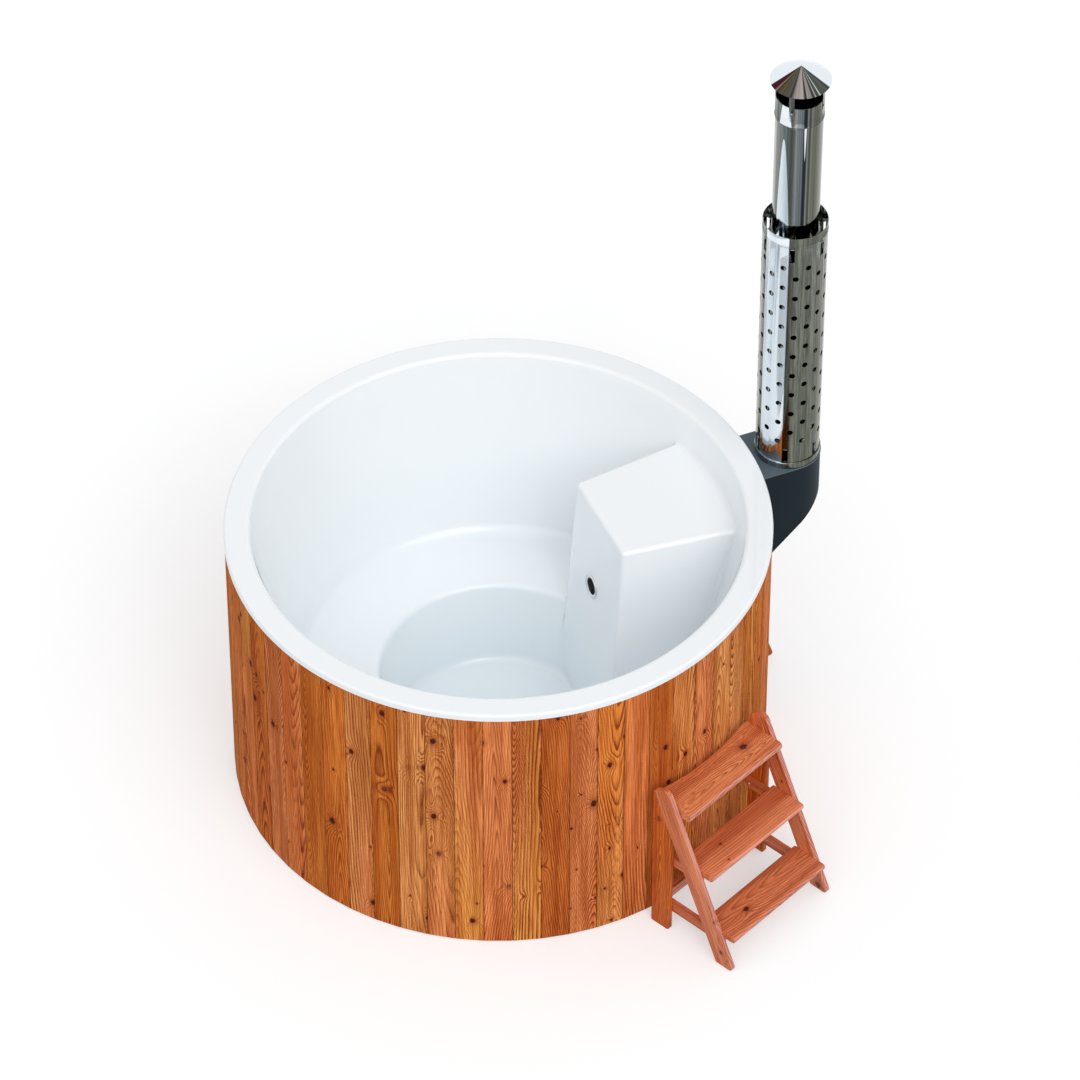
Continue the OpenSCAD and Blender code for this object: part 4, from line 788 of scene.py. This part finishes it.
for node, finish, edge in (
        ("rim_ring", "plywood", 0),
        ("frame_hoops", "plywood", 0),
        ("bench_ribs", "plywood", 0),
        ("base_plate", "plywood", 0),
        ("foam_jacket", "foam", 0),
        ("flue_pipe", "pipe", 0.0003),
        ("heat_shield", "shield", 0),
        ("shield_collar", "collar", 0.0004),
        ("shield_spacers", "stainless", 0),
        ("rain_cap", "cone", 0),
        ("cap_rivets", "stainless", 0.0003),
        ("flue_box", "anthracite", 0.0012),
        ("flue_box_lid", "lid", 0.0008),
        ("smoke_duct", "black_steel", 0.0005),
        ("water_jacket", "stainless", 0.001),
        ("firebox", "black_steel", 0.0008),
        ("fire_grate", "iron", 0.0012),
        ("front_plate", "stainless", 0.0008),
        ("plate_screws", "stainless", 0.0003),
        ("fire_door", "iron", 0.0015),
        ("door_seal", "rope", 0.0008),
        ("hinge_pins", "stainless", 0.0004),
        ("door_latch", "black_steel", 0.0008),
        ("ash_drawer", "black_steel", 0.0005),
        ("air_slider", "stainless", 0.0003),
        ("hot_port_ring", "chrome", 0.0003),
        ("cold_port_ring", "chrome", 0.0003),
        ("hot_pipe", "stainless", 0),
        ("cold_pipe", "stainless", 0),
        ("port_gaskets", "rubber", 0.0003),
        ("drain_strainer", "stainless", 0.0003),
        ("drain_fitting", "stainless", 0.0003),
        ("drain_gasket", "rubber", 0.0003),
        ("drain_pipe", "stainless", 0),
        ("valve_body", "brass", 0.0006),
        ("valve_ball", "chrome", 0),
        ("valve_lever", "red", 0.0006),
        ("hose_tail", "brass", 0.0004),
        ("step_screws", "stainless", 0)):
    dress(node, finish, edge)

# ---- The liner: its section turned round the axis, with the heater's niche blended in ----

LINER_T = 0.006
# corners from the middle of the floor to the rim's lower edge: (radius, height, rounding)
SECTION = [(0.0, 0.075, 0.0), (0.345, 0.075, 0.040), (0.404, 0.369, 0.024),
           (0.658, 0.388, 0.060), (0.815, 1.056, 0.016), (0.900, 1.056, 0.009),
           (0.900, 1.031, 0.0)]
WALL_PART = 6                   # the wall's place among the section's straights and arcs
NICHE_TOP, NICHE_FRONT, NICHE_W = 0.930, 0.363, 0.378
NICHE_EDGE, NICHE_BLEND = 0.014, 0.014
FRONT_DRAFT, SIDE_DRAFT, FLARE = (math.tan(math.radians(angle)) for angle in (3.7, 1.84, 6.75))
SPLIT_Z = 1.030                 # the wall's mesh ends here, and the rim's rings follow
RIM_GAP, EDGE_BAND = 0.004, 0.003       # the first ring's height above it, the edge's reach
ROUGH_ABOVE, SETTLED_ABOVE = 0.02, 0.01
HOLE_REACH = 1.5                # a hole's ragged edge lies within this many radii
ROUGH_STEPS, RIM_STEPS, ARC_STEPS = 128, 240, 8
CELL, KEPT_SHARE = 0.008, 0.28
TINY = 1e-9


def niche_front(height):
    return NICHE_FRONT - (NICHE_TOP - height) * FRONT_DRAFT


def niche_half(along, height):
    return NICHE_W / 2 + (NICHE_TOP - height) * SIDE_DRAFT + (along - NICHE_FRONT) * FLARE


# holes for the two water ports and the drain: (centre, radius)
LINER_HOLES = [(Vector((niche_front(0.612), 0.014, 0.612)), 0.0335),
               (Vector((niche_front(0.122), -0.050, 0.122)), 0.0255),
               (Vector((-0.150, 0.0, 0.075)), 0.0255)]


def section_parts():
    """The section's straights and arcs: (start, end, centre or None, bend).

    bend is 1 where the water is inside the arc and -1 where it is outside.
    """
    corners = [Vector(corner[:2]) for corner in SECTION]
    parts, last = [], corners[0]
    for before, corner, after, (_, _, radius) in zip(corners, corners[1:], corners[2:],
                                                     SECTION[1:]):
        u, v = (before - corner).normalized(), (after - corner).normalized()
        half = u.angle(v) / 2
        centre = corner + (u + v).normalized() * radius / math.sin(half)
        start = corner + u * radius / math.tan(half)
        end = corner + v * radius / math.tan(half)
        bend = 1 if (corner - before).cross(after - corner) > 0 else -1
        parts += [(last, start, None, 0), (start, end, centre, bend)]
        last = end
    return parts + [(last, corners[-1], None, 0)]


SECTION_PARTS = section_parts()


def section_field(r, z):
    """Distance from the section's visible side, below zero in the water, and the way out."""
    reach = np.full(len(r), np.inf)
    out = np.zeros((len(r), 2))
    slack = 1e-6
    for start, end, centre, bend in SECTION_PARTS:
        if centre is None:
            run = (end - start).normalized()
            t = (r - start.x) * run.x + (z - start.y) * run.y
            here = (t > -slack) & (t < (end - start).length + slack)
            side = (r - start.x) * run.y - (z - start.y) * run.x
            way = np.tile((run.y, -run.x), (len(r), 1))
        else:
            dr, dz = r - centre.x, z - centre.y
            a, b = start - centre, end - centre
            here = ((bend * (a.x * dz - a.y * dr) > -slack)
                    & (bend * (dr * b.y - dz * b.x) > -slack))
            length = np.maximum(np.hypot(dr, dz), TINY)
            side = bend * (length - a.length)
            way = bend * np.stack([dr, dz], axis=1) / length[:, None]
        nearer = here & (np.abs(side) < np.abs(reach))
        reach[nearer] = side[nearer]
        out[nearer] = way[nearer]
    return reach, out


def niche_field(x, y, z):
    """Distance from the niche's block, rounded where its faces meet, and the way out of it."""
    front_scale = 1 / math.hypot(1, FRONT_DRAFT)
    side_scale = 1 / math.sqrt(1 + SIDE_DRAFT ** 2 + FLARE ** 2)
    gaps = np.stack([(niche_front(z) - x) * front_scale,
                     (np.abs(y) - niche_half(x, z)) * side_scale, z - NICHE_TOP])
    ones, none = np.ones_like(x), np.zeros_like(x)
    ways = np.stack([
        np.stack([-ones, none, FRONT_DRAFT * ones], axis=1) * front_scale,
        np.stack([-FLARE * ones, np.sign(y), SIDE_DRAFT * ones], axis=1) * side_scale,
        np.stack([none, none, ones], axis=1)])
    past = np.maximum(gaps + NICHE_EDGE, 0)
    size = np.sqrt((past ** 2).sum(axis=0))
    reach = np.minimum(gaps.max(axis=0) + NICHE_EDGE, 0) + size - NICHE_EDGE
    rounded = (past[:, :, None] * ways).sum(axis=0) / np.maximum(size, TINY)[:, None]
    flat = np.take_along_axis(ways, gaps.argmax(axis=0)[None, :, None], axis=0)[0]
    return reach, np.where((size > 0)[:, None], rounded, flat)


def liner_field(spots):
    """Distance from the liner's visible side, below zero in the water, and the way out.

    Water is inside the basin and outside the niche's block, with a fillet where they meet.
    """
    x, y, z = spots.T
    r = np.maximum(np.hypot(x, y), TINY)
    basin, way = section_field(r, z)
    basin_way = np.stack([way[:, 0] * x / r, way[:, 0] * y / r, way[:, 1]], axis=1)
    block, block_way = niche_field(x, y, z)
    a, b = np.maximum(basin + NICHE_BLEND, 0), np.maximum(NICHE_BLEND - block, 0)
    size = np.hypot(a, b)
    reach = np.where(size > 0, size, np.maximum(basin, -block) + NICHE_BLEND) - NICHE_BLEND
    blended = (a[:, None] * basin_way - b[:, None] * block_way) / np.maximum(size, TINY)[:, None]
    plain = np.where((basin > -block)[:, None], basin_way, -block_way)
    way = np.where((size > 0)[:, None], blended, plain)
    return reach, way / np.maximum(np.linalg.norm(way, axis=1), TINY)[:, None]


def settle(spots, rounds):
    """Draw the points onto the liner's visible side."""
    for _ in range(rounds):
        reach, way = liner_field(spots)
        spots = spots - reach[:, None] * way
    return spots


def spots_of(mesh):
    spots = np.empty(len(mesh.vertices) * 3)
    mesh.vertices.foreach_get("co", spots)
    return spots.reshape(-1, 3)


def mesh_of(form, name):
    """A new mesh of the form, which is given up."""
    mesh = bpy.data.meshes.new(name)
    form.to_mesh(mesh)
    form.free()
    return mesh


def sharp_basin():
    """The basin's water as a closed solid, turned from the section's sharp corners."""
    top = SPLIT_Z + ROUGH_ABOVE
    (foot_r, foot_z, _), (head_r, head_z, _) = SECTION[3:5]
    wall = foot_r + (head_r - foot_r) * (top - foot_z) / (head_z - foot_z)
    profile = [(r, z) for r, z, _ in SECTION[:4]] + [(wall, top), (0.0, top)]
    form = bmesh.new()
    corners = [form.verts.new((r, 0, z)) for r, z in profile]
    strip = [form.edges.new(pair) for pair in zip(corners, corners[1:])]
    bmesh.ops.spin(form, geom=corners + strip, cent=(0, 0, 0), axis=UP, angle=math.tau,
                   steps=ROUGH_STEPS, use_duplicate=False)
    bmesh.ops.remove_doubles(form, verts=form.verts, dist=1e-5)
    bmesh.ops.recalc_face_normals(form, faces=form.faces)
    return mesh_of(form, "basin")


def sharp_niche():
    """The niche's block as a closed solid that reaches out past the wall."""
    past_wall = 1.0
    form = bmesh.new()
    for z in (0.0, NICHE_TOP):
        for x in (niche_front(z), past_wall):
            for side in (-1, 1):
                form.verts.new((x, side * niche_half(x, z), z))
    bmesh.ops.convex_hull(form, input=form.verts)
    return mesh_of(form, "niche_block")


def rough_water():
    """A closed solid near the water's shape: the basin less the niche's block."""
    block = placed("niche_block", sharp_niche())
    water = through(sharp_basin(), "BOOLEAN", operation="DIFFERENCE", solver="EXACT",
                    object=block)
    bpy.data.objects.remove(block)
    return water


def open_edges(form):
    return [edge for edge in form.edges if len(edge.link_faces) == 1]


def cut_hole(form, centre, radius):
    """Take out the faces round the centre and draw the cut's edge onto a circle."""
    inside = [face for face in form.faces
              if (face.calc_center_median() - centre).length < radius]
    bmesh.ops.delete(form, geom=inside, context="FACES")
    for vertex in {v for edge in open_edges(form) for v in edge.verts}:
        if (vertex.co - centre).length < radius * HOLE_REACH:
            vertex.co = centre + (vertex.co - centre).normalized() * radius


def arc_points(start, end, centre):
    """Evenly spread points between the ends of an arc."""
    a, b = start - centre, end - centre
    turn = a.angle(b)
    return [centre + (a * math.sin((1 - i / ARC_STEPS) * turn)
                      + b * math.sin(i / ARC_STEPS * turn)) / math.sin(turn)
            for i in range(1, ARC_STEPS)]


def rim_path():
    """The section from just above the split, over the rim, to its turned-down edge."""
    path = []
    for start, end, centre, _ in SECTION_PARTS[WALL_PART:]:
        path += [start, end] if centre is None else arc_points(start, end, centre)
    foot, head = path[:2]
    path[0] = head.lerp(foot, (head.y - SPLIT_Z - RIM_GAP) / (head.y - foot.y))
    return path


def add_rim(form):
    """Rings over the rim, joined to the open edge of the wall below them."""
    wall_edge = [edge for edge in open_edges(form)
                 if min(v.co.z for v in edge.verts) > SPLIT_Z - EDGE_BAND]
    turns = [i * math.tau / RIM_STEPS for i in range(RIM_STEPS)]
    rings = [[form.verts.new((point.x * math.cos(turn), point.x * math.sin(turn), point.y))
              for turn in turns] for point in rim_path()]
    turned = [ring[1:] + ring[:1] for ring in rings]
    for corners in zip(rings, turned, turned[1:], rings[1:]):
        for face in zip(*corners):
            form.faces.new(face)
    lowest = [form.edges.get(pair) for pair in zip(rings[0], turned[0])]
    bmesh.ops.bridge_loops(form, edges=wall_edge + lowest)


def liner_skin():
    """The liner's visible side as an open mesh, with its three holes."""
    mesh = through(rough_water(), "REMESH", mode="VOXEL", voxel_size=CELL, adaptivity=0.0)
    spots = spots_of(mesh)
    below = spots[:, 2] < SPLIT_Z + SETTLED_ABOVE
    spots[below] = settle(spots[below], rounds=4)
    mesh.vertices.foreach_set("co", spots.ravel())
    form = bmesh.new()
    form.from_mesh(mesh)
    bmesh.ops.bisect_plane(form, geom=form.verts[:] + form.edges[:] + form.faces[:], dist=1e-7,
                           plane_co=(0, 0, SPLIT_Z), plane_no=UP, clear_outer=True)
    for centre, radius in LINER_HOLES:
        cut_hole(form, centre, radius)
    form.to_mesh(mesh)
    form.free()
    mesh = through(mesh, "DECIMATE", ratio=KEPT_SHARE, use_collapse_triangulate=True)
    form = bmesh.new()
    form.from_mesh(mesh)
    add_rim(form)
    return mesh_of(form, "liner_skin")


def make_liner():
    """The skin and its back, one wall thickness apart, with normals from the exact shape."""
    skin = liner_skin()
    spots = settle(spots_of(skin), rounds=2)
    way = liner_field(spots)[1]
    count = len(spots)
    front = []
    for face in skin.polygons:
        ring = list(face.vertices)
        a, b, c = spots[ring[0]], spots[ring[1]], spots[ring[2]]
        if np.dot(np.cross(b - a, c - a), way[ring].sum(axis=0)) > 0:
            ring.reverse()
        front.append(ring)
    back = [[v + count for v in reversed(ring)] for ring in front]
    directed = {(ring[i - 1], ring[i]) for ring in front for i in range(len(ring))}
    edges = [[b, a, a + count, b + count] for a, b in directed if (b, a) not in directed]
    mesh = bpy.data.meshes.new("liner_finished")
    mesh.from_pydata(np.concatenate([spots, spots + way * LINER_T]).tolist(), [],
                     front + back + edges)
    mesh.shade_smooth()
    normals = [tuple(-way[v]) for ring in front for v in ring]
    normals += [tuple(way[v - count]) for ring in back for v in ring]
    for face in mesh.polygons[len(front) + len(back):]:
        normals += [tuple(face.normal)] * len(face.vertices)
    mesh.normals_split_custom_set(normals)
    return mesh


new_piece(make_liner(), "liner", "liner")

# the rain cap's sleeve and struts have their own finish below the cone
CAP_SLACK = 0.0005
cap = bpy.data.objects["rain_cap_finished"].data
cap.materials.append(FINISHES["sleeve"])
for face in cap.polygons:
    if min(cap.vertices[v].co.z for v in face.vertices) < CONE_FOOT - CAP_SLACK:
        face.material_index = 1

# ---- Floor, light and camera ----

VIEW_TURN = math.radians(-23.5)
VIEW_TILT = math.radians(90 - 43.703)   # from looking straight down
VIEW_FROM = Vector((0.1364, -14.6610, 14.9798))         # before the turn round the tub's axis
FLOOR_COLOUR, FLOOR_GLOW = (0.62, 0.625, 0.63, 1), 0.44
FLOOR_REACH, FLOOR_DROP = 40.0, 0.0005
SKY_COLOUR, SKY_LIGHT, SKY_SEEN = (0.97, 0.985, 1.0, 1.0), 0.68, 1.0


def seen_plainly(tree):
    """1 for the rays that show the background itself: camera, mirror and glass rays."""
    path = put(tree, "ShaderNodeLightPath").outputs
    return maths(tree, "MAXIMUM", path["Is Camera Ray"],
                 maths(tree, "MAXIMUM", path["Is Glossy Ray"], path["Is Transmission Ray"]))


def make_floor():
    form = bmesh.new()
    bmesh.ops.create_grid(form, x_segments=1, y_segments=1, size=FLOOR_REACH)
    floor = placed("studio_floor", mesh_of(form, "studio_floor"))
    floor.location.z = -FLOOR_DROP
    material, tree, shader = finish_with(
        "studio_white", Base_Color=FLOOR_COLOUR, Roughness=0.95, Specular_IOR_Level=0.0,
        Emission_Color=(1, 1, 1, 1))
    glow = times(tree, seen_plainly(tree), FLOOR_GLOW)
    tree.links.new(glow, shader.inputs["Emission Strength"])
    floor.data.materials.append(material)


def make_world():
    world = bpy.data.worlds.new("studio")
    bpy.context.scene.world = world
    world.use_nodes = True
    tree = world.node_tree
    tree.nodes.clear()
    strength = put(tree, "ShaderNodeMapRange",
                   {"Value": seen_plainly(tree), "To Min": SKY_LIGHT, "To Max": SKY_SEEN})
    light = put(tree, "ShaderNodeBackground",
                {"Color": SKY_COLOUR, "Strength": strength.outputs[0]})
    put(tree, "ShaderNodeOutputWorld", {"Surface": light.outputs[0]})


def add_light(name, turn, height, strength, softness, warmth=0.0):
    """A soft distant lamp; turn is measured from the camera's side, to its right."""
    lamp = bpy.data.lights.new(name, "SUN")
    lamp.energy = strength
    lamp.angle = math.radians(softness)
    lamp.color = (1.0, 1.0 - warmth / 2, 1.0 - warmth)
    side = math.radians(turn) + VIEW_TURN
    up = math.radians(height)
    from_there = Vector((math.sin(side) * math.cos(up), -math.cos(side) * math.cos(up),
                         math.sin(up)))
    placed(name, lamp).rotation_euler = from_there.to_track_quat("Z", "Y").to_euler()


def add_camera():
    camera = placed("camera", bpy.data.cameras.new("camera"))
    bpy.context.scene.camera = camera
    camera.data.lens = 205.98
    camera.data.sensor_width = 36.0
    camera.data.clip_start, camera.data.clip_end = 0.5, 200.0
    camera.location = Matrix.Rotation(VIEW_TURN, 4, "Z") @ VIEW_FROM
    camera.rotation_euler = (VIEW_TILT, 0.0, VIEW_TURN)


make_floor()
make_world()
add_light("key_light", turn=33, height=45, strength=0.70, softness=42, warmth=0.03)
add_light("fill_light", turn=-2, height=42, strength=0.66, softness=60)
add_light("glint_light", turn=20, height=44, strength=0.06, softness=4)
add_camera()

bpy.context.scene.view_settings.view_transform = "Standard"
